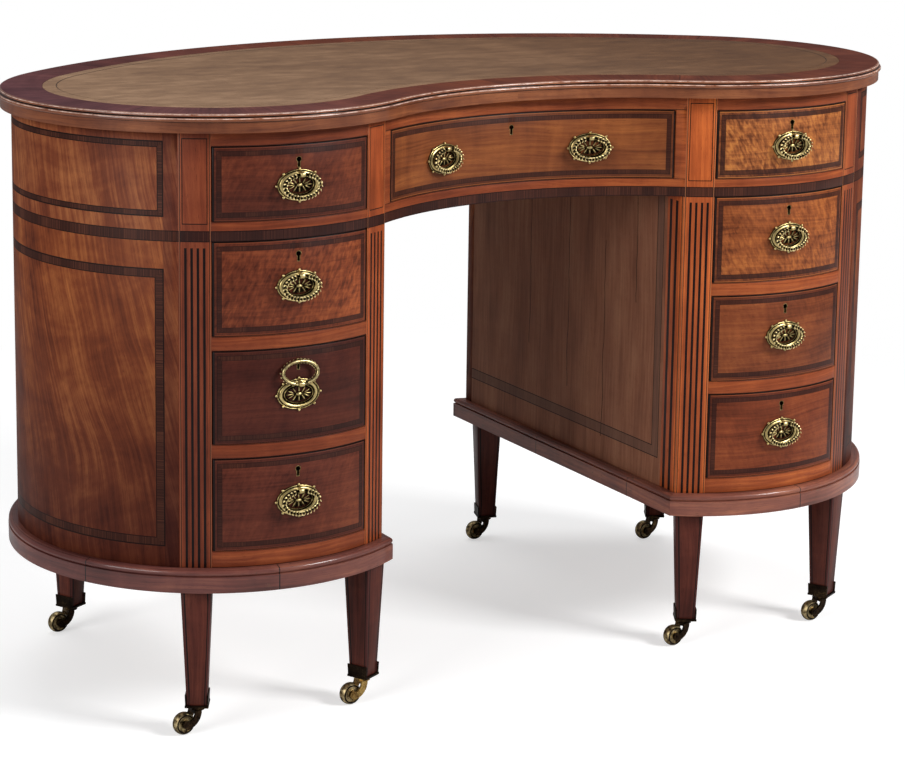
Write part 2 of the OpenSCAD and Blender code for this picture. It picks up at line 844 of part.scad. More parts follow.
// Oval plate bent to the face, with pierced petals, balls on its rim and the knuckle's eye.
// bend is the radius of the face behind it, positive where the face bows outwards.
module handle_plate(bend) {
    difference() {
        union() {
            intersection() {
                rotate([90, 0, 0]) linear_extrude(height = plate_h) pierced_oval();
                bent_sheet(bend);
            }
            for (k = [0:balls - 1])
                let (t = 360 * k / balls, x = (plate_w / 2 + ball_out) * cos(t))
                    translate([x, bend_y(bend, x) - seat_gap - ball_r - seam,
                               (plate_h / 2 + ball_out) * sin(t)])
                        sphere(r = ball_r, $fn = bead_fn);
            rotate([90, 0, 0])
                translate([0, 0, seat_gap + plate_t / 2]) cylinder(r = boss_r, h = plate_t / 2 + boss_h);
            translate([0, 0, knuckle_z])
                rotate([90, 0, 0])
                    translate([0, 0, seat_gap + plate_t / 2])
                        cylinder(r = post_r, h = pull_out - seat_gap - plate_t / 2);
            translate([-eye_w / 2, -pull_out, knuckle_z])
                rotate([0, 90, 0]) cylinder(r = eye_r, h = eye_w);
        }
        translate([-eye_w, -pull_out, knuckle_z])
            rotate([0, 90, 0]) cylinder(r = knuckle_pin_r + pin_gap, h = 2 * eye_w);
    }
}

// Oval with pointed petals pierced round its middle
module pierced_oval() {
    difference() {
        oval(plate_w / 2, plate_h / 2);
        for (k = [0:petals - 1])
            let (t = 360 * k / petals)
                translate([petal_x * cos(t), petal_z * sin(t)])
                    rotate([0, 0, t])
                        intersection() {
                            translate([0, petal_c]) circle(r = petal_r);
                            translate([0, -petal_c]) circle(r = petal_r);
                        }
    }
}

// How far the face lies behind the handle's tangent plane at a distance x
function bend_y(bend, x) = sign(bend) * (abs(bend) - sqrt(bend * bend - x * x));

// Sheet that follows the face at a small clearance
module bent_sheet(bend) {
    near_r = abs(bend) + sign(bend) * seat_gap;
    far_r = near_r + sign(bend) * plate_t;
    translate([0, bend, -plate_h])
        linear_extrude(height = 2 * plate_h)
            difference() {
                circle(r = max(near_r, far_r), $fn = arc_fn);
                circle(r = min(near_r, far_r), $fn = arc_fn);
            }
}

// Keyhole liner and lock case of one drawer front
module lock_set(x, front_y, top_z) {
    key_z = top_z - key_drop;
    difference() {
        keyhole_bore(x, front_y + liner_sunk, front_y + liner_depth, key_z, key_rim);
        keyhole_bore(x, front_y - cut, front_y + liner_depth + cut, key_z, 0);
    }
    difference() {
        lock_block(x, front_y + front_t, top_z, 0);
        keyhole_bore(x, front_y + front_t - lock_t - cut, front_y + front_t - lock_t / 2, key_z, 0);
    }
}

// Brasses fixed to one pedestal drawer
module pedestal_brasses(s, i) {
    color(brass) {
        at_pedestal_pull(s, i) handle_plate(face_r);
        lock_set(s * lobe_x, lobe_y - face_r, levels[i - 1] + opening_hs[i - 1]);
    }
}

// Brasses fixed to the centre drawer
module centre_brasses() {
    color(brass) {
        for (s = [left, right])
            at_centre_pull(s) handle_plate(-hollow_r);
        lock_set(0, hollow_y + hollow_r, level_1 + frieze_drawer_h);
    }
}

// Oval bail on its knuckle pin, hanging
module bail() {
    color(brass)
        translate([0, -pull_out, knuckle_z]) hanging_ring();
}

// The same bail folded up, leaning back beyond upright
module raised_bail() {
    color(brass)
        translate([0, -pull_out, knuckle_z])
            rotate([-bail_lean, 0, 0]) mirror([0, 0, 1]) hanging_ring();
}

// Ring of beads on rod lengths, open at the top for the knuckle's eye, with the pin across
module hanging_ring() {
    for (k = [0:beads - 1]) {
        at = ring_at(k);
        next = ring_at(k + 1);
        translate(at)
            rotate([90, -atan2(bail_a * (at[2] + bail_b), bail_b * at[0]), 0])
                sphere(r = bail_r, $fn = bead_fn);
        if (k < beads - 1)
            translate(at)
                rotate([0, atan2(next[0] - at[0], next[2] - at[2]), 0])
                    cylinder(r = bail_rod_r, h = norm(next - at), $fn = bead_fn);
    }
    translate([-pin_half, 0, 0])
        rotate([0, 90, 0]) cylinder(r = knuckle_pin_r, h = 2 * pin_half);
}

// Middle of a bead on the ring, at even steps round the oval from one side of the eye
function ring_at(k) = let (
        s = eye_turn + k * (360 - 2 * eye_turn) / (beads - 1),
        t = s - 90 / PI * (bail_a - bail_b) / (bail_a + bail_b) * sin(2 * s)
    ) [bail_a * sin(t), 0, bail_b * (cos(t) - 1)];

module pedestal_bail(s, i) {
    at_pedestal_pull(s, i) bail();
}

module centre_bail(s) {
    at_centre_pull(s) bail();
}

top_board();
leather_lining();
end_panel(left);  // left_end_panel
end_panel(right);  // right_end_panel
inner_side(left);  // left_inner_side
inner_side(right);  // right_inner_side
front_stiles();
drawer_rails(left);  // left_drawer_rails
drawer_rails(right);  // right_drawer_rails
dust_boards();
centre_frame();
back_frieze();
plinth(left);  // left_plinth
plinth(right);  // right_plinth
legs();
castor_cups();
centre_drawer();
pedestal_drawer(left, 1);  // left_drawer_1
pedestal_drawer(left, 2);  // left_drawer_2
pedestal_drawer(left, 3);  // left_drawer_3
pedestal_drawer(left, 4);  // left_drawer_4
pedestal_drawer(right, 1);  // right_drawer_1
pedestal_drawer(right, 2);  // right_drawer_2
pedestal_drawer(right, 3);  // right_drawer_3
pedestal_drawer(right, 4);  // right_drawer_4
centre_brasses();
pedestal_brasses(left, 1);  // left_brasses_1
pedestal_brasses(left, 2);  // left_brasses_2
pedestal_brasses(left, 3);  // left_brasses_3
pedestal_brasses(left, 4);  // left_brasses_4
pedestal_brasses(right, 1);  // right_brasses_1
pedestal_brasses(right, 2);  // right_brasses_2
pedestal_brasses(right, 3);  // right_brasses_3
pedestal_brasses(right, 4);  // right_brasses_4
centre_bail(left);  // centre_bail_left
centre_bail(right);  // centre_bail_right
pedestal_bail(left, 1);  // left_bail_1
pedestal_bail(left, 2);  // left_bail_2
at_pedestal_pull(left, 3) raised_bail();  // left_bail_3
pedestal_bail(left, 4);  // left_bail_4
pedestal_bail(right, 1);  // right_bail_1
pedestal_bail(right, 2);  // right_bail_2
pedestal_bail(right, 3);  // right_bail_3
pedestal_bail(right, 4);  // right_bail_4
horn(1);  // horn_1
horn(2);  // horn_2
horn(3);  // horn_3
horn(4);  // horn_4
horn(5);  // horn_5
horn(6);  // horn_6
horn(7);  // horn_7
horn(8);  // horn_8
wheel(1);  // wheel_1
wheel(2);  // wheel_2
wheel(3);  // wheel_3
wheel(4);  // wheel_4
wheel(5);  // wheel_5
wheel(6);  // wheel_6
wheel(7);  // wheel_7
wheel(8);  // wheel_8
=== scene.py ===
# Kneehole desk on a kidney-shaped plan: the veneers, inlay, leather, brasses and castors over
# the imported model. Metres, floor at z = 0, front towards -Y, as in the frame.
import math
import bpy
import bmesh
from mathutils import Matrix, Vector


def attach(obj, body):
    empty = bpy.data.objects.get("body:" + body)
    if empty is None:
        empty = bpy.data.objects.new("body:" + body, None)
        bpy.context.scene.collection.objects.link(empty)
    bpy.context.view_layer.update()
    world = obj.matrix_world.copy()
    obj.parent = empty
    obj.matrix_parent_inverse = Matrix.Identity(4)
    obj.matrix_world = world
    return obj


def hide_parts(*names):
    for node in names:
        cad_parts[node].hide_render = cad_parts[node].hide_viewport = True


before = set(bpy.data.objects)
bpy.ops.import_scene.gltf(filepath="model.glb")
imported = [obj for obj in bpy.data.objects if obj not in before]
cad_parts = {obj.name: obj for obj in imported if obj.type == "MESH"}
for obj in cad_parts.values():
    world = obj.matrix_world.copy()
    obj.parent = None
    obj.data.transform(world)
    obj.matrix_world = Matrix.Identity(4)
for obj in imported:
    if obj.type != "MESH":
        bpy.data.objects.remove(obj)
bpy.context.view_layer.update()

# ---------------------------------------------------------------- Legs
# Eight square tapered legs of dark solid wood with a fine dark string near each corner, turned to
# face the curve that they stand under. Each stands in the cup of its castor; the dowel that is
# glued into the plinth is hidden, and only the CAD has it.

# The plan is mirrored left to right: a lobe at each end, a bowed back and a hollow front, each an
# arc. The carcase's face lies in from the top's edge, and has radii of its own.
LOBE_X, LOBE_Y, LOBE_R = 0.350, -0.0655525, 0.261
BACK_C, BACK_R = 0.4231111, 0.8101161
FRONT_C, FRONT_R = 0.5018182, 0.3508195
FRONT_Y, BACK_Y = LOBE_Y - FRONT_C, LOBE_Y - BACK_C
FACE = 0.017
FACE_R, BOW_R, HOLLOW_R = LOBE_R - FACE, BACK_R - FACE, FRONT_R + FACE
CASTOR_H, LEG_H, LEG_W, FOOT_W = 0.036, 0.144, 0.036, 0.024
LEG_TOP = CASTOR_H + LEG_H
KNEE_X, STILE_X, HALF_OPEN = 0.2155, 0.4845, 0.101
SIDES = (("left", -1), ("right", 1))


def paint(red, green, blue):
    """A colour judged on a scale of 0 to 255, as linear light."""
    parts = [c / 255 for c in (red, green, blue)]
    return (*[c / 12.92 if c < 0.04045 else ((c + 0.055) / 1.055) ** 2.4 for c in parts], 1.0)


def feed(tree, socket, value):
    """Gives a socket its value, or links it to the other socket that brings it."""
    if isinstance(value, bpy.types.NodeSocket):
        tree.links.new(value, socket)
    else:
        socket.default_value = value


def wired(tree, kind, sockets=(), **settings):
    """A new node of a tree, with its settings made and its sockets fed."""
    made = tree.nodes.new(kind)
    for key, value in settings.items():
        setattr(made, key, value)
    for key, value in dict(sockets).items():
        feed(tree, made.inputs[key], value)
    return made


class Finish:
    """A finish being mixed: its nodes are made with short words, and flow into one shader."""

    def __init__(self, name, roughness=0.4, coat=0.0, metallic=0.0, specular=0.16):
        self.material = bpy.data.materials.new(name)
        self.material.use_nodes = True
        self.tree = self.material.node_tree
        self.skin = self.tree.nodes["Principled BSDF"]
        for key, value in (("Roughness", roughness), ("Coat Weight", coat), ("Coat Roughness", 0.12),
                           ("Metallic", metallic), ("Specular IOR Level", 0.5 if metallic else specular)):
            self.skin.inputs[key].default_value = value

    def node(self, kind, sockets=(), **settings):
        return wired(self.tree, "ShaderNode" + kind, sockets, **settings)

    def calc(self, operation, *values, clamp=False):
        return self.node("Math", dict(enumerate(values)), operation=operation, use_clamp=clamp).outputs[0]

    def plus(self, one, two):
        return self.calc("ADD", one, two)

    def minus(self, one, two):
        return self.calc("SUBTRACT", one, two)

    def times(self, value, factor):
        return self.calc("MULTIPLY", value, factor)

    def over(self, value, limit):
        return self.calc("GREATER_THAN", value, limit)

    def under(self, value, limit):
        return self.calc("LESS_THAN", value, limit)

    def ramp(self, value, slope, start, clamp=False):
        """A value times a slope, from a start."""
        return self.calc("MULTIPLY_ADD", value, slope, start, clamp=clamp)

    def apart(self, one, two=0.0):
        """How far two values lie from each other."""
        return self.calc("ABSOLUTE", self.minus(one, two))

    def lowest(self, *values):
        least = values[0]
        for value in values[1:]:
            least = self.calc("MINIMUM", least, value)
        return least

    def between(self, value, low, high):
        return self.times(self.over(value, low), self.under(value, high))

    def veneer_place(self):
        apart = self.node("SeparateXYZ", {0: self.node("UVMap", uv_map="Veneer").outputs[0]})
        return apart.outputs[0], apart.outputs[1]

    def object_place(self):
        place = self.node("TexCoord").outputs["Object"]
        return self.node("SeparateXYZ", {0: place}).outputs

    def noise(self, x, y, z=0.0, detail=3.0, rough=0.55, bend=0.0):
        spot = self.node("CombineXYZ", {0: x, 1: y, 2: z}).outputs[0]
        made = self.node("TexNoise", {"Vector": spot, "Scale": 1.0, "Detail": detail,
                                      "Roughness": rough, "Distortion": bend})
        return made.outputs["Fac"]

    def grain(self, scale, detail, rough=0.5):
        """Noise of the same scale along the desk's three axes."""
        return self.node("TexNoise", {"Vector": self.node("TexCoord").outputs["Object"], "Scale": scale,
                                      "Detail": detail, "Roughness": rough}).outputs["Fac"]

    def shade(self, amount, stops):
        made = self.node("ValToRGB", {0: amount})
        steps = made.color_ramp.elements
        while len(steps) < len(stops):
            steps.new(0.5)
        for step, (place, colour) in zip(steps, stops):
            step.position = place
            step.color = colour
        return made.outputs[0]

    def mix(self, amount, first, second, way="MIX"):
        made = self.node("Mix", {0: amount, 6: first, 7: second}, data_type="RGBA", blend_type=way)
        return made.outputs[2]

    def tinted(self, colour, tint, amount=1.0):
        return self.mix(amount, colour, (*tint, 1), "MULTIPLY")

    def inlaid(self, colour, value, low, high, tone, strength=1.0):
        """The colour, with a tone laid into it where a value lies between two others."""
        return self.mix(self.times(self.between(value, low, high), strength), colour, tone)

    def finish(self, colour, height, depth, rough=None):
        """The material, with its colour, its fine relief and, where it varies, its roughness."""
        feed(self.tree, self.skin.inputs["Base Color"], colour)
        if rough is not None:
            feed(self.tree, self.skin.inputs["Roughness"], rough)
        bump = self.node("Bump", {"Height": height, "Strength": 0.6, "Distance": depth})
        feed(self.tree, self.skin.inputs["Normal"], bump.outputs[0])
        return self.material


def wood_grain(fin, across, along, tones, seed, flame=0.25, ripple=0.0, ripple_length=0.01, slant=0.0):
    """Colour and pore height of polished wood, from its places across and along the grain."""
    drift = fin.noise(fin.times(across, 9), fin.times(along, 4), seed + 11.3, 2)
    bent = fin.plus(across, fin.times(drift, 0.03))
    streak = fin.noise(fin.times(bent, 240), fin.times(along, 7), seed, 5, 0.62)
    cloud = fin.noise(fin.times(bent, 26), fin.times(along, 6), seed + 4.7, 3)
    pore = fin.noise(fin.times(bent, 1500), fin.times(along, 90), seed + 2.1, 2)
    tone = fin.plus(fin.times(streak, 0.5), fin.times(cloud, 0.5))
    if flame:
        glow = fin.noise(fin.times(bent, 7), fin.times(along, 16), seed + 8.2, 3, 0.6, 1.2)
        tone = fin.plus(tone, fin.times(fin.minus(glow, 0.5), flame))
    if ripple:
        run = fin.plus(along, fin.times(across, slant))
        wave = fin.noise(fin.times(run, 1 / ripple_length), fin.times(across, 0.42 / ripple_length),
                         seed + 6.4, 2, 0.5, 0.4)
        patch = fin.noise(fin.times(across, 11), fin.times(along, 8), seed + 9.9, 2)
        wave = fin.times(fin.minus(wave, 0.5), fin.times(patch, 2.6 * ripple))
        tone = fin.plus(tone, wave)
    dark, mid, light = tones
    colour = fin.shade(tone, [(0.30, dark), (0.5, mid), (0.68, light)])
    return fin.mix(fin.times(fin.under(pore, 0.36), 0.5), colour, dark), pore


def painted_light_left_to_right(fin, colour):
    """Painted light: darker and bluer at the desk's shaded left end, paler and more orange at its lit right.
    """
    x = fin.object_place()[0]
    part = fin.ramp(x, 0.95, 0.55, clamp=True)
    return fin.mix(1.0, colour, fin.mix(part, (0.60, 0.54, 0.66, 1), (1.12, 1.08, 1.0, 1)), "MULTIPLY")


def polish(fin, colour, pore, low=0.30):
    """French polish: a low sheen that is a little duller in patches."""
    return fin.finish(colour, pore, 0.00006, fin.ramp(fin.grain(22.0, 4.0), 0.22, low))


class Panels:
    """Flat faces gathered with their places on the veneer, before they become one mesh."""

    def __init__(self):
        self.corners, self.faces, self.places = [], [], []

    def face(self, corners, places=None):
        start = len(self.corners)
        self.corners += [tuple(c) for c in corners]
        self.faces.append(range(start, start + len(corners)))
        self.places += places or [(c[0], c[2]) for c in corners]

    def wall(self, one, two, low, high, places=None):
        """An upright face between two points of the plan."""
        self.face([(*one, low), (*two, low), (*two, high), (*one, high)], places)

    def mesh(self, name, smooth=35):
        mesh = bpy.data.meshes.new(name)
        mesh.from_pydata(self.corners, [], [tuple(f) for f in self.faces])
        veneer = mesh.uv_layers.new(name="Veneer")
        for loop, place in zip(veneer.data, self.places):
            loop.uv = place
        work = bmesh.new()
        work.from_mesh(mesh)
        bmesh.ops.remove_doubles(work, verts=work.verts, dist=1e-6)
        bmesh.ops.recalc_face_normals(work, faces=work.faces)
        for face in work.faces:
            face.smooth = True
        work.to_mesh(mesh)
        work.free()
        mesh.set_sharp_from_angle(angle=math.radians(smooth))
        return mesh


def added(name, data):
    """A new object in the scene."""
    made = bpy.data.objects.new(name, data)
    bpy.context.scene.collection.objects.link(made)
    return made


def as_mesh(thing):
    """The mesh that an object shows with its modifiers."""
    bpy.context.view_layer.update()
    return bpy.data.meshes.new_from_object(thing.evaluated_get(bpy.context.evaluated_depsgraph_get()))


def set_shape(piece):
    """Turns a piece's modifiers into its mesh."""
    mesh = as_mesh(piece)
    piece.modifiers.clear()
    piece.data = mesh


def place_piece(name, mesh, material, body, nodes, bevel=0.0, segments=2, hole=None):
    """A finished piece of the desk: its mesh, finish, softened edges, body and CAD nodes."""
    piece = added(name, mesh)
    mesh.materials.append(material)
    if bevel:
        soft = piece.modifiers.new("Softened edges", "BEVEL")
        soft.width = bevel
        soft.segments = segments
        soft.limit_method = "ANGLE"
        soft.angle_limit = math.radians(40)
        set_shape(piece)
        piece.data.set_sharp_from_angle(angle=math.radians(60))
    if hole:
        cut = piece.modifiers.new("Keyhole", "BOOLEAN")
        cut.object = hole
        cut.operation = "DIFFERENCE"
        cut.solver = "EXACT"
        set_shape(piece)
        bpy.data.objects.remove(hole)
        piece.data.set_sharp_from_angle(angle=math.radians(35))
    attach(piece, body)
    if nodes:
        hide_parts(*nodes)


def leg_spots():
    """Where each leg stands, and how it is turned."""
    turn = math.radians(29)
    front_r = FACE_R - LEG_W / 2 + 0.004
    back_r = front_r + 0.004
    inner_x = KNEE_X + LEG_W / 2 + 0.003
    inner_r = BOW_R - LEG_W / 2 - 0.001
    inner_turn = math.asin(inner_x / inner_r)
    for side in (-1, 1):
        for reach, out, back in ((front_r, 1, -1), (front_r, -1, -1), (back_r, 1, 1)):
            yield (side * (LOBE_X + out * reach * math.sin(turn)), LOBE_Y + back * reach * math.cos(turn),
                   -side * out * back * turn)
        yield side * inner_x, BACK_Y + inner_r * math.cos(inner_turn), -side * inner_turn


LEG_TONES = (paint(56, 25, 18), paint(96, 47, 34), paint(124, 66, 46))
fin = Finish("Leg wood", coat=0.04)
u, v = fin.veneer_place()
colour, pore = wood_grain(fin, fin.times(u, 0.03), v, LEG_TONES, 3.1)
stray = fin.apart(fin.calc("FRACT", u), 0.5)
colour = fin.inlaid(colour, stray, 0.36, 0.405, paint(16, 9, 8))
colour = fin.mix(fin.over(stray, 0.405), colour, paint(88, 46, 38))
leg_finish = polish(fin, fin.tinted(colour, (0.68, 0.62, 0.70)), pore)

legs = Panels()
for number, (x, y, turn) in enumerate(leg_spots()):
    place = Matrix.Translation((x, y, CASTOR_H)) @ Matrix.Rotation(turn, 4, "Z")
    rings = [[place @ Vector((half * a, half * b, z)) for a, b in ((-1, -1), (1, -1), (1, 1), (-1, 1))]
             for z, half in ((0.0, FOOT_W / 2), (LEG_H, LEG_W / 2))]
    for k in range(4):
        corners = [rings[0][k], rings[0][(k + 1) % 4], rings[1][(k + 1) % 4], rings[1][k]]
        at = 4 * number + k
        legs.face(corners, [(at, 0), (at + 0.999, 0), (at + 0.999, LEG_H), (at, LEG_H)])
    legs.face(rings[0][::-1], [(0.2, 0)] * 4)
    legs.face(rings[1], [(0.2, 0)] * 4)
place_piece("tapered_legs", legs.mesh("tapered_legs"), leg_finish, "desk", ["legs"],
            bevel=0.0009)

# ---------------------------------------------------------------- Castors
# Cast and turned brass, gone brown with age: a cup with two wings up each foot, a swivelling
# horn with curved cheeks, and a wheel with a worn bright tread. Each horn turns in its cup and
# each wheel on its axle, so these keep the model's own shapes.


def old_brass(name, bright, dull, grime, roughness, wear):
    """Brass with dull patches and dirt in them."""
    fin = Finish(name, metallic=1.0)
    cloud, fine = fin.grain(60.0, 6.0, 0.65), fin.grain(540.0, 3.0)
    tone = fin.ramp(fine, 0.3, fin.times(cloud, 0.7))
    colour = fin.shade(tone, [(wear - 0.14, grime), (wear, dull), (wear + 0.12, bright)])
    rough = fin.ramp(cloud, 0.35, roughness - 0.16)
    return fin.finish(colour, fine, 0.0001, rough)


def worn_wheel(number, x, y):
    """Wheel brass: a worn bright tread between two black faces."""
    trail, turn = 0.019, math.radians(185)
    fin = Finish(f"Castor wheel {number}", metallic=1.0)
    place = fin.object_place()
    along = fin.times(fin.minus(place[0], x + trail * math.cos(turn)), -math.sin(turn))
    across = fin.times(fin.minus(place[1], y + trail * math.sin(turn)), math.cos(turn))
    stray = fin.apart(fin.plus(along, across))
    cloud = fin.noise(*[fin.times(way, 210) for way in place], 5)
    colour = fin.shade(cloud, [(0.36, paint(70, 56, 40)), (0.5, paint(150, 132, 96)),
                               (0.62, paint(206, 186, 140))])
    colour = fin.mix(fin.over(stray, 0.0057), colour, paint(34, 28, 24))
    return fin.finish(colour, cloud, 0.0001, fin.ramp(cloud, 0.4, 0.25))


cup_finish = old_brass("Castor cup brass", paint(96, 76, 50), paint(46, 35, 26), paint(22, 16, 13),
                       0.42, 0.56)
dark_horn = old_brass("Dark horn brass", paint(134, 108, 68), paint(66, 50, 36), paint(26, 19, 15),
                      0.42, 0.55)
lit_horn = old_brass("Lit horn brass", paint(206, 172, 104), paint(134, 104, 60), paint(40, 29, 20),
                      0.36, 0.48)
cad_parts["castor_cups"].material_slots[0].material = cup_finish
for number, (x, y, turn) in enumerate(leg_spots(), 1):
    horn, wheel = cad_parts[f"horn_{number}"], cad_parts[f"wheel_{number}"]
    # Painted highlight: the inner front horn at the left is given a brighter brass.
    horn.material_slots[0].material = lit_horn if number == 2 else dark_horn
    wheel.material_slots[0].material = worn_wheel(number, x, y)

# ---------------------------------------------------------------- Plinths
# A moulded frame under each pedestal: a bead over a plain fascia, bent round the bow and mitred
# where it turns along the kneehole. Dark, much handled wood, its tones greyed by a painted sheen.
PLINTH_OUT, PLINTH_H, PLINTH_W = 0.012, 0.0275, 0.066
FRONT_TURN, BACK_TURN = math.atan2(FRONT_C, LOBE_X), math.atan2(BACK_C, LOBE_X)
FRONT_RUN = HOLLOW_R * (math.pi / 2 - FRONT_TURN)
LOBE_RUN = FACE_R * (BACK_TURN - FRONT_TURN + math.pi)
BACK_RUN = BOW_R * (math.pi / 2 - BACK_TURN)
HALF_ROUND = FRONT_RUN + LOBE_RUN + BACK_RUN
WIDEST = FRONT_RUN + FACE_R * (math.pi - FRONT_TURN)


def outline(run, inset):
    """Point of the plan at a run along the carcase's face from the middle of the front."""
    if run < FRONT_RUN:
        turn = run / HOLLOW_R
        reach = FRONT_R + inset
        return reach * math.sin(turn), FRONT_Y + reach * math.cos(turn)
    if run < FRONT_RUN + LOBE_RUN:
        turn = FRONT_TURN - math.pi + (run - FRONT_RUN) / FACE_R
        reach = LOBE_R - inset
        return LOBE_X + reach * math.cos(turn), LOBE_Y + reach * math.sin(turn)
    turn = BACK_TURN + (run - FRONT_RUN - LOBE_RUN) / BOW_R
    reach = BACK_R - inset
    return reach * math.cos(turn), BACK_Y + reach * math.sin(turn)


def run_at(x, inset, back=False):
    """Run at which the outline, drawn in by inset, passes x: on its front, or on its back."""
    low, high = (WIDEST, HALF_ROUND) if back else (0.0, WIDEST)
    for _ in range(50):
        middle = (low + high) / 2
        if (outline(middle, inset)[0] < x) != back:
            low = middle
        else:
            high = middle
    return (low + high) / 2


# Tones greyed and purpled by a painted sheen, over the wood's own colour.
PLINTH_TONES = (paint(74, 43, 37), paint(124, 72, 59), paint(160, 101, 76))
fin = Finish("Plinth wood", coat=0.5, specular=0.2)
u, v = fin.veneer_place()
colour, pore = wood_grain(fin, v, u, PLINTH_TONES, 5.3)
joint = fin.calc("PINGPONG", fin.plus(u, 0.06), 0.115)
colour = fin.mix(fin.under(joint, 0.0007), colour, paint(30, 16, 14))
x, y, z = fin.object_place()
chips = fin.noise(fin.times(x, 90), fin.times(y, 90), fin.times(z, 160), 4)
colour = fin.mix(fin.over(chips, 0.68), colour, paint(112, 74, 58))
plinth_finish = polish(fin, painted_light_left_to_right(fin, colour), pore)

bead_r = 0.004
bead_z = PLINTH_H - bead_r - 0.0003
plinth_section = [(PLINTH_W, 0.0), (0.0, 0.0), (0.0, bead_z - bead_r)]
plinth_section += [(bead_r + 0.0003 - bead_r * math.cos(t), bead_z + bead_r * math.sin(t))
                   for t in [math.radians(-65 + 17.5 * k) for k in range(11)]]
plinth_section += [(1.4 * bead_r + 0.0006, PLINTH_H), (PLINTH_W, PLINTH_H)]


def plinth_loop(inset, side):
    """The plinth's outline drawn in by inset: round the bow and back along the kneehole."""
    edge = KNEE_X - PLINTH_OUT + inset
    depth = FACE - PLINTH_OUT + inset
    start, end = run_at(edge, depth), run_at(edge, depth, True)
    bow = [(*outline(start + (end - start) * k / 120, depth), start + (end - start) * k / 120)
           for k in range(121)]
    back_y, front_y = bow[-1][1], bow[0][1]
    flat = [(edge, back_y + (front_y - back_y) * k / 16, end + (back_y - front_y) * k / 16)
            for k in range(1, 17)]
    return [(side * x, y, run) for x, y, run in bow + flat]


def sweep(section, lines, base):
    """A section swept along the lines of the plan that its points draw. Each point of a line has
    its run beside it; the veneer's place is the run and the girth."""
    piece = Panels()
    girth = 0.0
    for (in_a, z_a), (in_b, z_b), one, two in zip(section, section[1:], lines, lines[1:]):
        reach = math.hypot(in_b - in_a, z_b - z_a)
        for (ax, ay, ra), (bx, by, rb), (cx, cy, rc), (dx, dy, rd) in zip(one, one[1:], two[1:], two):
            piece.face([(ax, ay, base + z_a), (bx, by, base + z_a), (cx, cy, base + z_b),
                        (dx, dy, base + z_b)],
                       [(ra, girth), (rb, girth), (rc, girth + reach), (rd, girth + reach)])
        girth += reach
    return piece


for side_name, side in SIDES:
    loops = [plinth_loop(inset, side) for inset, z in plinth_section]
    plinth = sweep(plinth_section + plinth_section[:1], loops + loops[:1], LEG_TOP)
    place_piece(f"{side_name}_moulded_plinth", plinth.mesh("plinth", smooth=30), plinth_finish,
                "desk", [f"{side_name}_plinth"])

# ---------------------------------------------------------------- Curved ends and back
# Bent panels veneered in flame-figured satinwood. A rosewood crossband between black lines runs
# round the whole carcase under the frieze, and each field is framed by a narrower one. The panels
# are glued between the stiles and the sides of the kneehole.
CARCASE_Z = LEG_TOP + PLINTH_H
FRIEZE_Z = CARCASE_Z + 0.390
BAND_Z, SLAB_Z = FRIEZE_Z + 0.012, FRIEZE_Z + 0.1275
# Black for the inlaid lines, and for the painted shadow in the gaps round the drawer fronts.
BLACK_LINE_AND_GAP_SHADOW = paint(22, 12, 10)
ROSEWOOD = (paint(30, 15, 12), paint(60, 31, 23), paint(104, 60, 42))


def rosewood(fin, along, seed):
    """Crossband of short upright pieces of rosewood, finely striped, some dark and some pale."""
    cell = fin.node("TexVoronoi", {"W": fin.ramp(along, 62.0, seed), "Scale": 1.0},
                    voronoi_dimensions="1D")
    tone = fin.node("SeparateColor", {0: cell.outputs["Color"]}).outputs[0]
    stripe = fin.noise(fin.times(along, 560), 0.0, seed, 3, 0.75)
    tone = fin.plus(fin.times(tone, 0.12), fin.times(stripe, 0.88))
    return fin.shade(tone, [(0.32, ROSEWOOD[0]), (0.5, ROSEWOOD[1]), (0.72, ROSEWOOD[2])])


def crossband(fin, colour, u, v, seed):
    """The band that runs round the carcase under the frieze, between black lines."""
    colour = fin.inlaid(colour, v, FRIEZE_Z, BAND_Z, rosewood(fin, u, seed))
    for line in (FRIEZE_Z, BAND_Z):
        colour = fin.inlaid(colour, v, line - 0.0005, line + 0.0005, BLACK_LINE_AND_GAP_SHADOW)
    return colour


def inside(fin, u, v, left, right, low, high):
    """How far a place lies inside a rectangle, and the run along its nearest side."""
    wide = fin.lowest(fin.minus(u, left), fin.minus(right, u))
    tall = fin.lowest(fin.minus(v, low), fin.minus(high, v))
    upright = fin.under(wide, tall)
    along = fin.plus(fin.times(v, upright), fin.times(u, fin.minus(1.0, upright)))
    return fin.calc("MINIMUM", wide, tall), along


def framed(fin, colour, u, v, left, right, low, high, width, seed):
    """A narrow crossband inlaid round a rectangle, between black lines."""
    line = 0.0010
    deep, along = inside(fin, u, v, left, right, low, high)
    colour = fin.inlaid(colour, deep, 0.0, width, rosewood(fin, along, seed))
    colour = fin.inlaid(colour, deep, -line, line / 2, BLACK_LINE_AND_GAP_SHADOW)
    return fin.inlaid(colour, deep, width - line / 2, width + line / 2, BLACK_LINE_AND_GAP_SHADOW)


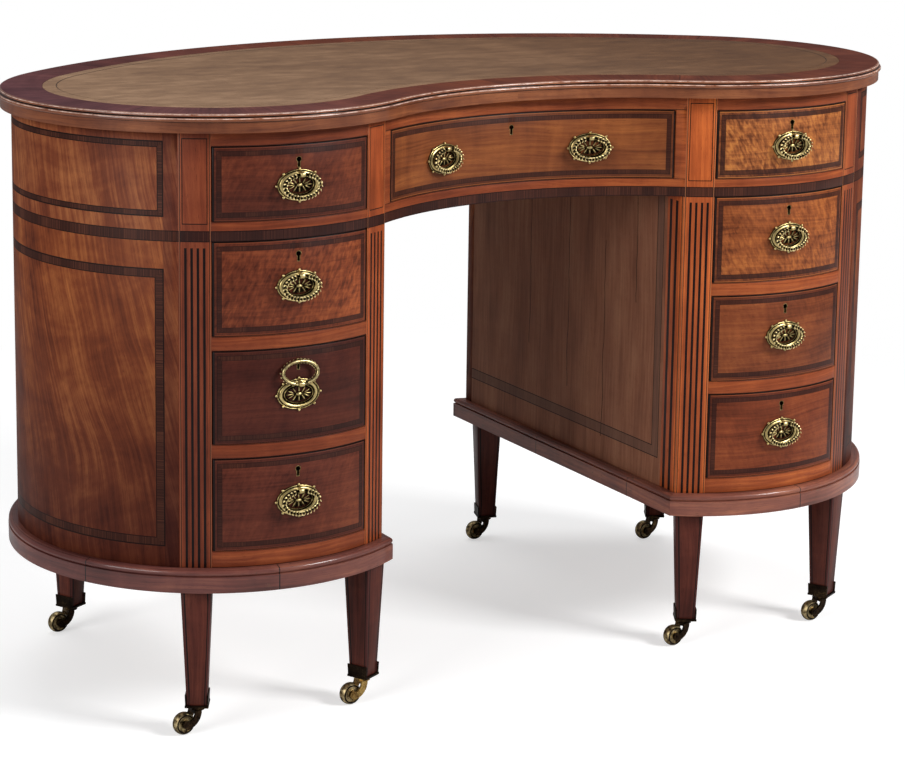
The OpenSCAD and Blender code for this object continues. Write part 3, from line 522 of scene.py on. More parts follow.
def bent_board(spans, z0, z1, insets, side, piece=None, length=0.008, origin=0.0):
    """A board bent to the outline, between two heights and two insets. spans gives the runs of
    its ends on the outer and on the inner face."""
    piece = piece or Panels()
    (out_a, out_b), (in_a, in_b) = spans
    count = max(1, round((out_b - out_a) / length))
    outer = [out_a + (out_b - out_a) * k / count for k in range(count + 1)]
    inner = [in_a + (in_b - in_a) * k / count for k in range(count + 1)]

    def spot(run, inset, z):
        mirrored = -1 if run < 0 else 1
        x, y = outline(abs(run), inset)
        return side * mirrored * x, y, z

    face_in, back_in = insets
    thick = back_in - face_in
    for k in range(count):
        a, b, c, d = outer[k], outer[k + 1], inner[k], inner[k + 1]
        ua, ub = a - origin, b - origin
        for p, q, inset, aside in ((a, b, face_in, 0), (c, d, back_in, 9)):
            piece.face([spot(p, inset, z0), spot(q, inset, z0), spot(q, inset, z1), spot(p, inset, z1)],
                       [(ua + aside, z0), (ub + aside, z0), (ub + aside, z1), (ua + aside, z1)])
        for z, way in ((z0, -1), (z1, 1)):
            piece.face([spot(a, face_in, z), spot(b, face_in, z), spot(d, back_in, z), spot(c, back_in, z)],
                       [(ua, z), (ub, z), (ub, z + way * thick), (ua, z + way * thick)])
    for a, c in ((outer[0], inner[0]), (outer[-1], inner[-1])):
        u0, u1 = a - origin, a - origin + 0.02
        piece.face([spot(a, face_in, z0), spot(c, back_in, z0), spot(c, back_in, z1), spot(a, face_in, z1)],
                   [(u0, z0), (u1, z0), (u1, z1), (u0, z1)])
    return piece


PANEL_TONES = (paint(74, 32, 20), paint(120, 60, 33), paint(162, 96, 52))
PANEL_BACK = FACE + 0.016
panel_start, panel_end = run_at(STILE_X, FACE), run_at(KNEE_X, FACE, True)
panel_turn = WIDEST + 0.60 * FACE_R
panel_fields = [(panel_start + 0.018, panel_turn - 0.022), (panel_turn + 0.022, panel_end - 0.02)]
FIELD_LOW, FIELD_HIGH = (CARCASE_Z + 0.026, FRIEZE_Z - 0.0335), (FRIEZE_Z + 0.029, SLAB_Z - 0.012)
for side_name, side in SIDES:
    seed = 20.0 + 5 * side
    fin = Finish(f"{side_name.capitalize()} end veneer", specular=0.10)
    u, v = fin.veneer_place()
    sway = fin.times(fin.noise(fin.times(u, 2.2), fin.times(v, 2.6), seed + 3.0, 1), 0.10)
    lean = fin.plus(fin.minus(u, fin.times(v, 0.22)), sway)
    colour, pore = wood_grain(fin, lean, v, PANEL_TONES, seed, ripple=0.10, ripple_length=0.012,
                              slant=0.5, flame=0.30)
    colour = fin.tinted(colour, (0.95, 1.0, 1.2), fin.over(v, FRIEZE_Z))
    # Painted shade: darker and more purple in the strip beside the stile, and towards the bottom.
    colour = fin.tinted(colour, (0.66, 0.64, 0.80), fin.under(u, panel_fields[0][0]))
    painted_low_shade = fin.ramp(v, -3.2, 1.75, clamp=True)
    colour = fin.tinted(colour, (0.34, 0.30, 0.52), fin.times(painted_low_shade, 0.85))
    for (low, high), width in ((FIELD_LOW, 0.0095), (FIELD_HIGH, 0.0062)):
        for left, right in panel_fields:
            colour = framed(fin, colour, u, v, left, right, low, high, width, seed)
    colour = crossband(fin, colour, u, v, seed)
    panel_finish = polish(fin, colour, pore, 0.42)
    spans = ((panel_start, panel_end), (run_at(STILE_X, PANEL_BACK), run_at(KNEE_X, PANEL_BACK, True)))
    panel = bent_board(spans, CARCASE_Z, SLAB_Z, (FACE, PANEL_BACK), side)
    place_piece(f"{side_name}_veneered_end", panel.mesh("end"), panel_finish, "desk",
                [f"{side_name}_end_panel"], bevel=0.0004, segments=1)

# ---------------------------------------------------------------- Back of the frieze
# A bent panel that joins the two ends over the open back of the kneehole, with the same crossband
# and one long framed field.
fin = Finish("Back frieze veneer", specular=0.10)
u, v = fin.veneer_place()
colour, pore = wood_grain(fin, u, v, PANEL_TONES, 31.0, ripple=0.2, ripple_length=0.016, flame=0.35)
colour = framed(fin, colour, u, v, -KNEE_X + 0.012, KNEE_X - 0.012, *FIELD_HIGH, 0.0062, 4.0)
colour = crossband(fin, colour, u, v, 12.0)
frieze_back = Panels()
columns = 52
for k in range(columns):
    ring = []
    for inset in (FACE, PANEL_BACK):
        reach = BACK_R - inset
        for x in (-KNEE_X + 2 * KNEE_X * k / columns, -KNEE_X + 2 * KNEE_X * (k + 1) / columns):
            ring.append((x, BACK_Y + math.sqrt(reach * reach - x * x)))
    a, b, c, d = ring
    for one, two in ((a, b), (c, d)):
        frieze_back.wall(one, two, FRIEZE_Z, SLAB_Z)
    for z in (FRIEZE_Z, SLAB_Z):
        frieze_back.face([(*spot, z) for spot in (a, b, d, c)])
    if k in (0, columns - 1):
        frieze_back.wall(*((a, c) if k == 0 else (b, d)), FRIEZE_Z, SLAB_Z)
place_piece("frieze_back", frieze_back.mesh("frieze_back"), polish(fin, colour, pore), "desk",
            ["back_frieze"], bevel=0.0004, segments=1)

# ---------------------------------------------------------------- Front stiles
# Posts that flank the drawers. At frieze level a black line is inlaid as a narrow rectangle; below
# the crossband four dark bars imitate flutes. A pale string guards each upright edge.
STILE_TONES = (paint(84, 38, 22), paint(130, 64, 38), paint(160, 86, 50))
fin = Finish("Stile veneer")
u, v = fin.veneer_place()
colour, pore = wood_grain(fin, u, v, STILE_TONES, 41.0, flame=0.15)
stile_half = 0.0191
local = fin.minus(fin.calc("MODULO", u, 1.0), 0.5)
deep, along = inside(fin, local, v, -stile_half + 0.0042, stile_half - 0.0042,
                     BAND_Z + 0.008, SLAB_Z - 0.0075)
colour = fin.tinted(colour, (1.12, 1.1, 1.0), fin.over(deep, 0.0))
margin = fin.over(fin.apart(local), stile_half - 0.0042)
colour = fin.tinted(colour, (1.4, 1.45, 1.3), margin)
colour = fin.inlaid(colour, deep, 0.0, 0.0011, BLACK_LINE_AND_GAP_SHADOW)
# Painted light: the two stiles beside the kneehole are made lighter.
colour = fin.tinted(colour, (1.6, 1.55, 1.15), fin.under(fin.calc("MODULO", u, 2.0), 1.0))
pitch = 0.0072
bar = fin.calc("PINGPONG", fin.plus(local, pitch * 4), pitch / 2)
flute = fin.times(fin.over(bar, pitch / 2 - 0.0015), fin.under(v, FRIEZE_Z - 0.0075))
flute = fin.times(flute, fin.under(fin.apart(local), pitch * 2))
colour = fin.mix(flute, colour, paint(24, 12, 10))
colour = crossband(fin, colour, u, v, 3.0)
for start, end, tone in ((0.0016, 0.0008, paint(150, 96, 62)), (0.0024, 0.0017, BLACK_LINE_AND_GAP_SHADOW)):
    colour = fin.inlaid(colour, fin.apart(local), stile_half - start, stile_half - end, tone)
stile_finish = polish(fin, painted_light_left_to_right(fin, colour), pore)

STILE_BACK = FACE + 0.030
stiles = Panels()
post_spans = ((KNEE_X, LOBE_X - HALF_OPEN), (LOBE_X + HALF_OPEN, STILE_X))
for order, (side, (x0, x1)) in enumerate([(side, span) for side in (-1, 1) for span in post_spans]):
    spans = [(run_at(x0, inset), run_at(x1, inset)) for inset in (FACE, STILE_BACK)]
    middle = sum(spans[0]) / 2
    bent_board(spans, CARCASE_Z, SLAB_Z, (FACE, STILE_BACK), side, stiles, 0.004,
               middle - 0.5 - order)
place_piece("inlaid_stiles", stiles.mesh("stiles"), stile_finish, "desk", ["front_stiles"],
            bevel=0.0005)

# ---------------------------------------------------------------- Drawer rails and frieze frame
# Bowed rails between the drawers, and the hollow frame round the centre drawer, faced with
# straight-grained wood along their length. A fine dark line of painted shade runs along each edge.
RAIL_TONES = (paint(90, 40, 22), paint(138, 68, 37), paint(178, 98, 52))
fin = Finish("Rail veneer")
u, v = fin.veneer_place()
colour, pore = wood_grain(fin, v, u, RAIL_TONES, 51.0, flame=0.2)
colour = crossband(fin, colour, u, v, 7.0)
RAIL_BACK = FACE + 0.040
LEVELS = (FRIEZE_Z + 0.023, CARCASE_Z + 0.278, CARCASE_Z + 0.149, CARCASE_Z + 0.020)
TOP_RAIL_Z = SLAB_Z - 0.017
HEIGHTS = (0.0875, 0.112, 0.112, 0.112)
rail_heights = [(CARCASE_Z, LEVELS[3]), (LEVELS[3] + HEIGHTS[3], LEVELS[2]),
                (LEVELS[2] + HEIGHTS[2], LEVELS[1]), (FRIEZE_Z, LEVELS[0]), (TOP_RAIL_Z, SLAB_Z)]
# Painted shade: a dark line along the top and bottom edge of each rail.
for low, high in rail_heights:
    for start, end in ((low, low + 0.0011), (high - 0.0009, high)):
        colour = fin.inlaid(colour, v, start, end, paint(44, 20, 14), 0.8)
rail_finish = polish(fin, painted_light_left_to_right(fin, colour), pore)
for side_name, side in SIDES:
    rails = Panels()
    spans = [(run_at(LOBE_X - HALF_OPEN, inset), run_at(LOBE_X + HALF_OPEN, inset))
             for inset in (FACE, RAIL_BACK)]
    for low, high in rail_heights:
        bent_board(spans, low, high, (FACE, RAIL_BACK), side, rails)
    place_piece(f"{side_name}_bowed_rails", rails.mesh("rails"), rail_finish, "desk",
                [f"{side_name}_drawer_rails"], bevel=0.0005)

front_frame = Panels()
CENTRE_X = 0.205
knee_runs = [run_at(KNEE_X, inset) for inset in (FACE, RAIL_BACK)]
open_runs = [run_at(CENTRE_X, inset) for inset in (FACE, RAIL_BACK)]
for low, high in ((FRIEZE_Z, LEVELS[0]), (TOP_RAIL_Z, SLAB_Z)):
    bent_board([(-run, run) for run in knee_runs], low, high, (FACE, RAIL_BACK), 1, front_frame)
for side in (-1, 1):
    bent_board(list(zip(open_runs, knee_runs)), LEVELS[0], TOP_RAIL_Z, (FACE, RAIL_BACK), side,
               front_frame)
strip_back = BACK_Y + math.sqrt((BACK_R - PANEL_BACK) ** 2 - KNEE_X ** 2)
strip_front = FRONT_Y + math.sqrt((FRONT_R + RAIL_BACK) ** 2 - KNEE_X ** 2) - 0.006


def box(piece, low, high):
    """A straight board between two corners."""
    for across, along in ((0, 2), (1, 2), (0, 1)):
        for level in (low, high):
            corners = []
            for one, two in ((low, low), (high, low), (high, high), (low, high)):
                corner = list(level)
                corner[across], corner[along] = one[across], two[along]
                corners.append(corner)
            piece.face(corners, [(c[along], c[across]) for c in corners])


LINING_TONES = (paint(112, 76, 48), paint(152, 110, 72), paint(182, 140, 96))
fin = Finish("Lining wood", roughness=0.6)
x, y, z = fin.object_place()
colour, pore = wood_grain(fin, fin.plus(x, z), y, LINING_TONES, 61.0, flame=0.2)
lining_finish = fin.finish(colour, pore, 0.00012)

place_piece("frieze_frame", front_frame.mesh("frieze_frame"), rail_finish, "desk", (),
            bevel=0.0005)
runners = Panels()
for side in (-1, 1):
    for x0, z0, z1 in ((KNEE_X - 0.030, LEVELS[0] - 0.015, LEVELS[0]),
                       (CENTRE_X, LEVELS[0], LEVELS[0] + 0.014), (KNEE_X - 0.030, TOP_RAIL_Z, SLAB_Z)):
        ends = sorted((side * x0, side * KNEE_X))
        box(runners, (ends[0], strip_front, z0), (ends[1], strip_back, z1))
place_piece("centre_runners", runners.mesh("centre_runners"), lining_finish, "desk",
            ["centre_frame"])
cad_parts["dust_boards"].material_slots[0].material = lining_finish

# ---------------------------------------------------------------- Kneehole sides
# Flat boards of plain brown wood along the kneehole, with upright grain, drying cracks and the
# same kind of band let in as a long rectangle. They are housed behind the stiles.
fin = Finish("Kneehole veneer", specular=0.10)
x, y, z = fin.object_place()
KNEE_TONES = (paint(104, 64, 47), paint(138, 91, 68), paint(160, 112, 84))
colour, pore = wood_grain(fin, y, z, KNEE_TONES, 71.0, flame=0.1)
deep, along = inside(fin, y, z, -0.226, 0.282, CARCASE_Z + 0.0365, SLAB_Z - 0.011)
colour = fin.inlaid(colour, deep, 0.0, 0.014, fin.mix(0.45, colour, paint(70, 62, 58)))
for line in (0.0, 0.014):
    colour = fin.inlaid(colour, deep, line - 0.0006, line + 0.0006, paint(40, 28, 24))
wander = fin.plus(y, fin.times(fin.noise(0.0, fin.times(z, 11), 2.0, 3), 0.012))
for crack, start, end in ((0.005, 0.29, 0.73), (-0.085, 0.24, 0.51), (0.105, 0.33, 0.69),
                          (-0.16, 0.44, 0.72)):
    split = fin.times(fin.under(fin.apart(wander, crack), 0.0006), fin.between(z, start, end))
    colour = fin.mix(split, colour, paint(28, 18, 15))
knee_finish = polish(fin, colour, pore, 0.42)
for side_name, side in SIDES:
    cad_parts[f"{side_name}_inner_side"].material_slots[0].material = knee_finish

# ---------------------------------------------------------------- Drawers
# Each has a front bent to the carcase, veneered with the grain level and framed by a cock bead, a
# dark crossgrained band and a black line, with painted shadow of the gaps at its edges, and pierced
# for the key. Its linings are dovetailed behind it. The fronts grow paler and more orange towards
# the right: painted light on the right end of each left-hand front, and darker left-hand tones,
# partly painted shade.
FRONT_T, GAP, SEAT = 0.020, 0.0008, 0.0003
FRONT_BACK = FACE + FRONT_T
KEY_DROP, LINING_T = 0.0180, 0.009
SIDE_DEPTH, CENTRE_DEPTH = 0.420, 0.470


def key_outline(grow):
    """Points round a keyhole about the middle of its eye, as x and z."""
    eye, slot_half, foot = 0.0030 + grow, 0.0014 + grow, -0.0088 - grow
    start = math.asin(slot_half / eye)
    points = [(eye * math.sin(t), -eye * math.cos(t)) for t in
              [start + (2 * math.pi - 2 * start) * k / 22 for k in range(23)]]
    return points + [(-slot_half, foot), (slot_half, foot)]


def key_cutter(x, y, z):
    """A block in the shape of a keyhole, long enough to pass through a drawer front."""
    hole = Panels()
    points = [(x + px, z + pz) for px, pz in key_outline(0.0006)]
    y0, y1 = y - 0.03, y + 0.05
    for (ax, az), (bx, bz) in zip(points, points[1:] + points[:1]):
        hole.face([(ax, y0, az), (bx, y0, bz), (bx, y1, bz), (ax, y1, az)])
    for depth in (y0, y1):
        hole.face([(px, depth, pz) for px, pz in points])
    return added("key_cutter", hole.mesh("key_cutter"))


def tones_about(red, green, blue):
    """Dark, middle and light tones of one wood, from its middle colour."""
    return (paint(red * 0.66, green * 0.60, blue * 0.60), paint(red, green, blue),
            paint(min(255, red * 1.24), green * 1.34, blue * 1.30))


def drawer_veneer(name, seed, half_w, mid_z, half_h, tones, ripple, lit_end):
    """A drawer front's veneer about its middle: field, black line, dark band, cock bead and painted gap
    shadow.
    """
    fin = Finish(name)
    u, v = fin.veneer_place()
    colour, pore = wood_grain(fin, v, u, tones, seed, ripple=ripple, ripple_length=0.0042, slant=0.35,
                              flame=0.35)
    # Painted light: a left-hand front lighter towards its lower right end, which turns to the light.
    if lit_end:
        slope = fin.minus(0.5 * mid_z, fin.plus(u, fin.times(v, 0.5)))
        part = fin.times(fin.ramp(slope, 12.0, -0.10, clamp=True), lit_end)
        colour = fin.tinted(colour, (1.9, 2.0, 1.55), part)
    deep, along = inside(fin, u, v, -half_w, half_w, mid_z - half_h, mid_z + half_h)
    band = fin.mix(0.45, rosewood(fin, along, seed), fin.tinted(colour, (0.26, 0.22, 0.28)))
    margin = fin.mix(0.25, fin.tinted(colour, (0.70, 0.62, 0.66)), rosewood(fin, along, seed + 1.7))
    colour = fin.mix(fin.under(deep, 0.0105), colour, band)
    colour = fin.mix(fin.under(deep, 0.0050), colour, margin)
    for line, strength in ((0.0104, 0.5), (0.0050, 0.8)):
        colour = fin.inlaid(colour, deep, line - 0.0004, line + 0.0004, BLACK_LINE_AND_GAP_SHADOW, strength)
    # A lighter line for the cock bead round the front, partly a painted highlight.
    colour = fin.inlaid(colour, deep, 0.0008, 0.0018, fin.mix(0.5, tones[1], tones[2]))
    # Painted shadow of the gaps: black within 0.8 mm of the front's edge and in a 2.1 mm strip at each end;
    # these masks also blacken the front's back, top and bottom faces.
    colour = fin.mix(fin.under(deep, 0.0008), colour, BLACK_LINE_AND_GAP_SHADOW)
    colour = fin.mix(fin.over(fin.apart(u), half_w - 0.0021), colour, BLACK_LINE_AND_GAP_SHADOW)
    return polish(fin, colour, pore)


def lining_box(x0, x1, y_end, z0, height):
    """The drawer's two sides and back. Places on the veneer start at the front end of a side."""
    top = z0 + height - 0.009
    linings = Panels()
    for x in (x0, x1 - LINING_T):
        ends = [outline(run_at(abs(p), FRONT_BACK), FRONT_BACK)[1] for p in (x, x + LINING_T)]
        corners = [(x, ends[0]), (x + LINING_T, ends[1]), (x + LINING_T, y_end), (x, y_end)]
        start = min(ends)
        for one, two in zip(corners, corners[1:] + corners[:1]):
            a, b = one[1] - start, two[1] - start
            linings.wall(one, two, z0, top, [(a, 0.0), (b, 0.0), (b, top - z0), (a, top - z0)])
        for z in (z0, top):
            linings.face([(cx, cy, z) for cx, cy in corners], [(0.3, cx) for cx, cy in corners])
    box(linings, (x0 + LINING_T, y_end - LINING_T, z0 + 0.012), (x1 - LINING_T, y_end, top))
    return linings


def flat_bottom(linings, x0, x1, y_end, z, thick):
    """The drawer's bottom, cut to the bent front in plan."""
    ring = []
    for k in range(17):
        x = x0 + (x1 - x0) * k / 16
        ring.append((x, outline(run_at(abs(x), FRONT_BACK), FRONT_BACK)[1]))
    ring += [(x1, y_end), (x0, y_end)]
    for level in (z, z + thick):
        linings.face([(px, py, level) for px, py in ring], [(py + 9, px) for px, py in ring])
    for one, two in zip(ring, ring[1:] + ring[:1]):
        linings.wall(one, two, z, z + thick, [(9, 0)] * 4)


fin = Finish("Dovetailed lining", roughness=0.6)
x, y, z = fin.object_place()
colour, pore = wood_grain(fin, fin.plus(x, z), y, LINING_TONES, 61.0, flame=0.2)
u, v = fin.veneer_place()
tail = fin.calc("PINGPONG", fin.plus(v, 0.004), 0.0105)
flare, corner = fin.minus(tail, fin.times(u, 0.22)), fin.between(u, -0.001, 0.013)
colour = fin.mix(fin.times(fin.under(flare, 0.0022), corner), colour, paint(116, 68, 42))
colour = fin.inlaid(colour, flare, 0.0018, 0.0024, paint(58, 36, 24), corner)
drawer_lining_finish = fin.finish(colour, pore, 0.00012)


def drawer(node, side, number, half, tones, seed, ripple=0.0, lit_end=0.0):
    """One drawer: its veneered front and its linings."""
    level, height = LEVELS[number], HEIGHTS[number]
    z0, tall = level + SEAT, height - SEAT - GAP
    centre = LOBE_X if side else 0.0
    shown = half - 0.0003
    if side:
        spans = [(run_at(centre - shown, inset), run_at(centre + shown, inset))
                 for inset in (FACE, FRONT_BACK)]
        middle_run = sum(spans[0]) / 2
        face_y = LOBE_Y - FACE_R
        y_end = face_y + SIDE_DEPTH
        x0, x1 = sorted((side * (centre - half), side * (centre + half)))
    else:
        spans = [(-run_at(shown, inset), run_at(shown, inset)) for inset in (FACE, FRONT_BACK)]
        middle_run = 0.0
        face_y = FRONT_Y + HOLLOW_R
        y_end = FRONT_Y + math.sqrt(HOLLOW_R ** 2 - CENTRE_X ** 2) + CENTRE_DEPTH
        x0, x1 = -half, half
    finish = drawer_veneer(f"{node.replace('_', ' ').capitalize()} veneer", seed,
                           (spans[0][1] - spans[0][0]) / 2, z0 + tall / 2, tall / 2, tones, ripple, lit_end)
    panel = bent_board(spans, z0, z0 + tall, (FACE, FRONT_BACK), side or 1, None, 0.006, middle_run)
    cutter = key_cutter(side * centre, face_y, level + height - KEY_DROP)
    place_piece(f"{node}_front", panel.mesh("front"), finish, node, (), 0.0009, 2, cutter)
    linings = lining_box(x0, x1, y_end, z0, tall)
    flat_bottom(linings, x0 + LINING_T, x1 - LINING_T, y_end, z0 + 0.006, 0.006)
    place_piece(f"{node}_linings", linings.mesh("linings"), drawer_lining_finish, node, [node])


drawer("centre_drawer", 0, 0, CENTRE_X - GAP, tones_about(122, 66, 35), 81.0)
# For each pedestal drawer from the top: its wood's middle colour, darker on the left partly as
# painted shade, its ripple and the strength of the painted light at its end.
woods = {-1: (((88, 40, 26), 0.30, 0.45), ((98, 45, 27), 0.55, 1.0), ((68, 29, 21), 0.14, 0.25),
              ((88, 41, 29), 0.22, 0.35)),
         1: (((152, 88, 46), 0.60, 0.0), ((140, 75, 38), 0.40, 0.0), ((116, 59, 33), 0.14, 0.0),
             ((116, 55, 31), 0.14, 0.0))}
for side_name, side in SIDES:
    for number, (wood, ripple, lit_end) in enumerate(woods[side]):
        drawer(f"{side_name}_drawer_{number + 1}", side, number, HALF_OPEN - GAP, tones_about(*wood),
               90.0 + 7 * number + 31 * side, ripple, lit_end)

# ---------------------------------------------------------------- Drawer brasses
# On each drawer a cast oval plate: balls outside a thin rim, a broad rounded band, and a pierced
# flower in the dished middle. A post with an eye carries the bail. The keyhole has a brass liner,
# and the lock case is let into the back of the front. All are fixed to the drawer.
PLATE_A, PLATE_B = 0.0279, 0.0185
PULL_OUT, KNUCKLE_Z, EYE_R = 0.0086, 0.013, 0.0033


def cast_brass(name, grime, dull, bright):
    """Brass rubbed bright on its raised parts and dark in its hollows: black dirt there, and painted shade.
    """
    fin = Finish(name, metallic=1.0)
    relief = fin.node("Attribute", attribute_name="Relief").outputs["Fac"]
    cloud = fin.grain(420.0, 4.0)
    tone = fin.ramp(cloud, 0.75, fin.ramp(relief, 0.72, -0.26))
    colour = fin.shade(tone, [(0.22, grime), (0.48, dull), (0.78, bright)])
    return fin.finish(colour, cloud, 0.00012, fin.ramp(relief, -0.22, 0.52))


plate_finish = cast_brass("Handle plate brass", paint(20, 15, 9), paint(104, 86, 50), paint(216, 194, 134))
bail_finish = cast_brass("Bail brass", paint(22, 17, 10), paint(116, 98, 58), paint(232, 212, 156))


def even_turns(count, shift=0.0):
    """Turns that share a full circle evenly."""
    return [2 * math.pi * (k + shift) / count for k in range(count)]


def set_relief(mesh, worth):
    """Stores how far each point of a casting stands out, from 0 in the hollows to 1."""
    relief = mesh.attributes.new("Relief", "FLOAT", "POINT")
    for vertex, value in zip(mesh.vertices, relief.data):
        value.value = max(0.0, min(1.0, worth(vertex.co)))


def oval_at(deep, turn):
    """A point of the oval drawn in by deep, at a turn round it."""
    return (PLATE_A - 1.12 * deep) * math.cos(turn), (PLATE_B - 0.92 * deep) * math.sin(turn)


def petal_line(turn):
    """A pierced petal, broad at its outer end, as x and z."""
    (ax, az), (bx, bz) = oval_at(0.0195, turn), oval_at(0.0103, turn)
    half = math.dist((ax, az), (bx, bz)) / 2
    way = math.atan2(bz - az, bx - ax)
    wide = 0.0013 + 0.0007 * abs(math.sin(turn))
    points = []
    for t in even_turns(12):
        along, across = half * math.cos(t), wide * math.sin(t) * (1.0 + 0.4 * math.cos(t))
        points.append(((ax + bx) / 2 + along * math.cos(way) - across * math.sin(way),
                       (az + bz) / 2 + along * math.sin(way) + across * math.cos(way)))
    return points


def pierced_flower():
    """The dished middle with its petals cut out, as a flat sheet."""
    curve = bpy.data.curves.new("flower", "CURVE")
    curve.dimensions = "2D"
    curve.fill_mode = "BOTH"
    curve.extrude = 0.0004
    edge = [oval_at(0.0088, t) for t in even_turns(48)]
    for line in (edge, *[petal_line(t) for t in even_turns(12, 0.5)]):
        spline = curve.splines.new("POLY")
        spline.points.add(len(line) - 1)
        for point, (px, pz) in zip(spline.points, line):
            point.co = (px, pz, 0.0, 1.0)
        spline.use_cyclic_u = True
    sheet = added("flower", curve)
    mesh = as_mesh(sheet)
    bpy.data.objects.remove(sheet)
    mesh.transform(Matrix.Translation((0, -SEAT - 0.0007, 0)) @ Matrix.Rotation(math.pi / 2, 4, "X"))
    return mesh


def turned(profile, count=16):
    """A turned shape round the Y axis, from points of radius and depth."""
    shape = bmesh.new()
    rings = []
    for radius, y in profile:
        turns = even_turns(count if radius > 1e-6 else 1)
        rings.append([shape.verts.new((radius * math.cos(t), y, radius * math.sin(t))) for t in turns])
    for one, two in zip(rings, rings[1:]):
        for k in range(count):
            corners = [one[k % len(one)], one[(k + 1) % len(one)],
                       two[(k + 1) % len(two)], two[k % len(two)]]
            corners = list(dict.fromkeys(corners))
            if len(corners) > 2:
                shape.faces.new(corners)
    bmesh.ops.recalc_face_normals(shape, faces=shape.faces)
    for face in shape.faces:
        face.smooth = True
    mesh = bpy.data.meshes.new("turned")
    shape.to_mesh(mesh)
    shape.free()
    return mesh


STILL = Matrix.Identity(4)


def joined(name, parts):
    """One mesh of several, each with the matrix that places it."""
    shape = bmesh.new()
    for mesh, place in parts:
        copy = mesh.copy()
        copy.transform(place)
        shape.from_mesh(copy)
        bpy.data.meshes.remove(copy)
    mesh = bpy.data.meshes.new(name)
    shape.to_mesh(mesh)
    shape.free()
    return mesh


def ball(radius=1.0, count=12):
    """A ball round the origin."""
    turns = [math.radians(30 * k) for k in range(7)]
    return turned([(radius * math.sin(t), -radius * math.cos(t)) for t in turns], count)


def oval_moulding(section):
    """A moulded ring round the oval: each point has a depth from the edge and a height."""
    ring = Panels()
    lines = []
    for deep, height in section:
        lines.append([(px, -SEAT - height, pz) for px, pz in [oval_at(deep, t) for t in even_turns(72)]])
    for one, two in zip(lines, lines[1:] + lines[:1]):
        for corners in zip(one, one[1:] + one[:1], two[1:] + two[:1], two):
            ring.face(corners)
    return ring.mesh("moulding", smooth=50)


band_section = [(0.0, 0.0), (0.0, 0.0012), (0.0003, 0.0017), (0.0008, 0.0019), (0.0013, 0.0016),
                (0.0016, 0.0009), (0.0021, 0.0009), (0.0026, 0.0017), (0.0034, 0.0024),
                (0.0043, 0.0027), (0.0052, 0.0024), (0.0059, 0.0017), (0.0064, 0.0009),
                (0.0070, 0.0006), (0.0076, 0.0009), (0.0080, 0.0015), (0.0084, 0.0018),
                (0.0088, 0.0014), (0.0091, 0.0006), (0.0091, 0.0)]
plate_parts = [(pierced_flower(), STILL), (oval_moulding(band_section), STILL)]
for t in even_turns(8):
    px, pz = oval_at(-0.0009, t)
    plate_parts.append((ball(0.00160), Matrix.Translation((px, -SEAT - 0.0018, pz))))
for t in even_turns(12):
    (ax, az), (bx, bz) = oval_at(0.0190, t), oval_at(0.0098, t)
    place = Matrix.Translation(((ax + bx) / 2, -SEAT - 0.0011, (az + bz) / 2))
    place = place @ Matrix.Rotation(-math.atan2(bz - az, bx - ax), 4, "Y")
    size = Matrix.Diagonal((math.dist((ax, az), (bx, bz)) / 2, 0.0009, 0.0009, 1))
    plate_parts.append((ball(1.0, 8), place @ size))
middle = Matrix.Translation((0, -SEAT - 0.0016, 0)) @ Matrix.Diagonal((0.0040, 0.0015, 0.0019, 1))
post = turned([(0.0034, -SEAT - 0.0018), (0.0034, -SEAT - 0.0030), (0.0022, -SEAT - 0.0038),
               (0.0022, -PULL_OUT + 0.001)])
eye = turned([(0.00156, -0.003), (0.0030, -0.003), (EYE_R, -0.0024), (EYE_R, 0.0024), (0.0030, 0.003),
              (0.00156, 0.003), (0.00156, -0.003)], 24)
eye_place = Matrix.Translation((0, -PULL_OUT, KNUCKLE_Z)) @ Matrix.Rotation(math.pi / 2, 4, "Z")
plate_parts += [(ball(), middle), (post, Matrix.Translation((0, 0, KNUCKLE_Z))), (eye, eye_place)]
flat_plate = joined("handle_plate", plate_parts)
set_relief(flat_plate, lambda co: (-co.y - SEAT - 0.0010) / 0.0011)


def bend_to_face(mesh, radius, place):
    """Bends a flat handle to the face behind it and puts it in place."""
    for vertex in mesh.vertices:
        drop = abs(radius) - math.sqrt(radius * radius - vertex.co.x ** 2)
        vertex.co.y += math.copysign(drop, radius)
    mesh.transform(place)


def lock_parts(x, face_y, z):
    """The keyhole's brass liner and the lock case at the back of the front."""
    liner = Panels()
    outer, inner = key_outline(0.0006), key_outline(0.0)
    y0, y1 = face_y + 0.0001, face_y + 0.004
    for k in range(len(outer)):
        a, b, c, d = [(x + px, z + pz) for px, pz in (outer[k - 1], outer[k], inner[k], inner[k - 1])]
        for y in (y0, y1):
            liner.face([(px, y, pz) for px, pz in (a, b, c, d)])
        for one, two in ((a, b), (d, c)):
            liner.face([(px, y, pz) for (px, pz), y in ((one, y0), (two, y0), (two, y1), (one, y1))])
    case = Panels()
    y = face_y + FRONT_T
    case_z = z - 0.0015
    box(case, (x - 0.024, y - 0.0078, case_z - 0.016), (x + 0.024, y + 0.0004, case_z + 0.016))
    parts = [(liner.mesh("liner"), STILL), (case.mesh("case"), STILL)]
    for dx in (-0.020, 0.020):
        for dz in (-0.012, 0.012):
            head = turned([(0.0, 0.0006), (0.0014, 0.0004), (0.0019, -0.0002)], 12)
            parts.append((head, Matrix.Translation((x + dx, y + 0.0004, case_z + dz))))
    lock = joined("lock", parts)
    # Painted shade inside the keyhole: the liner dark past its first millimetre; the lock case dark too.
    set_relief(lock, lambda co: 0.6 if co.y < face_y + 0.001 else 0.0)
    return lock


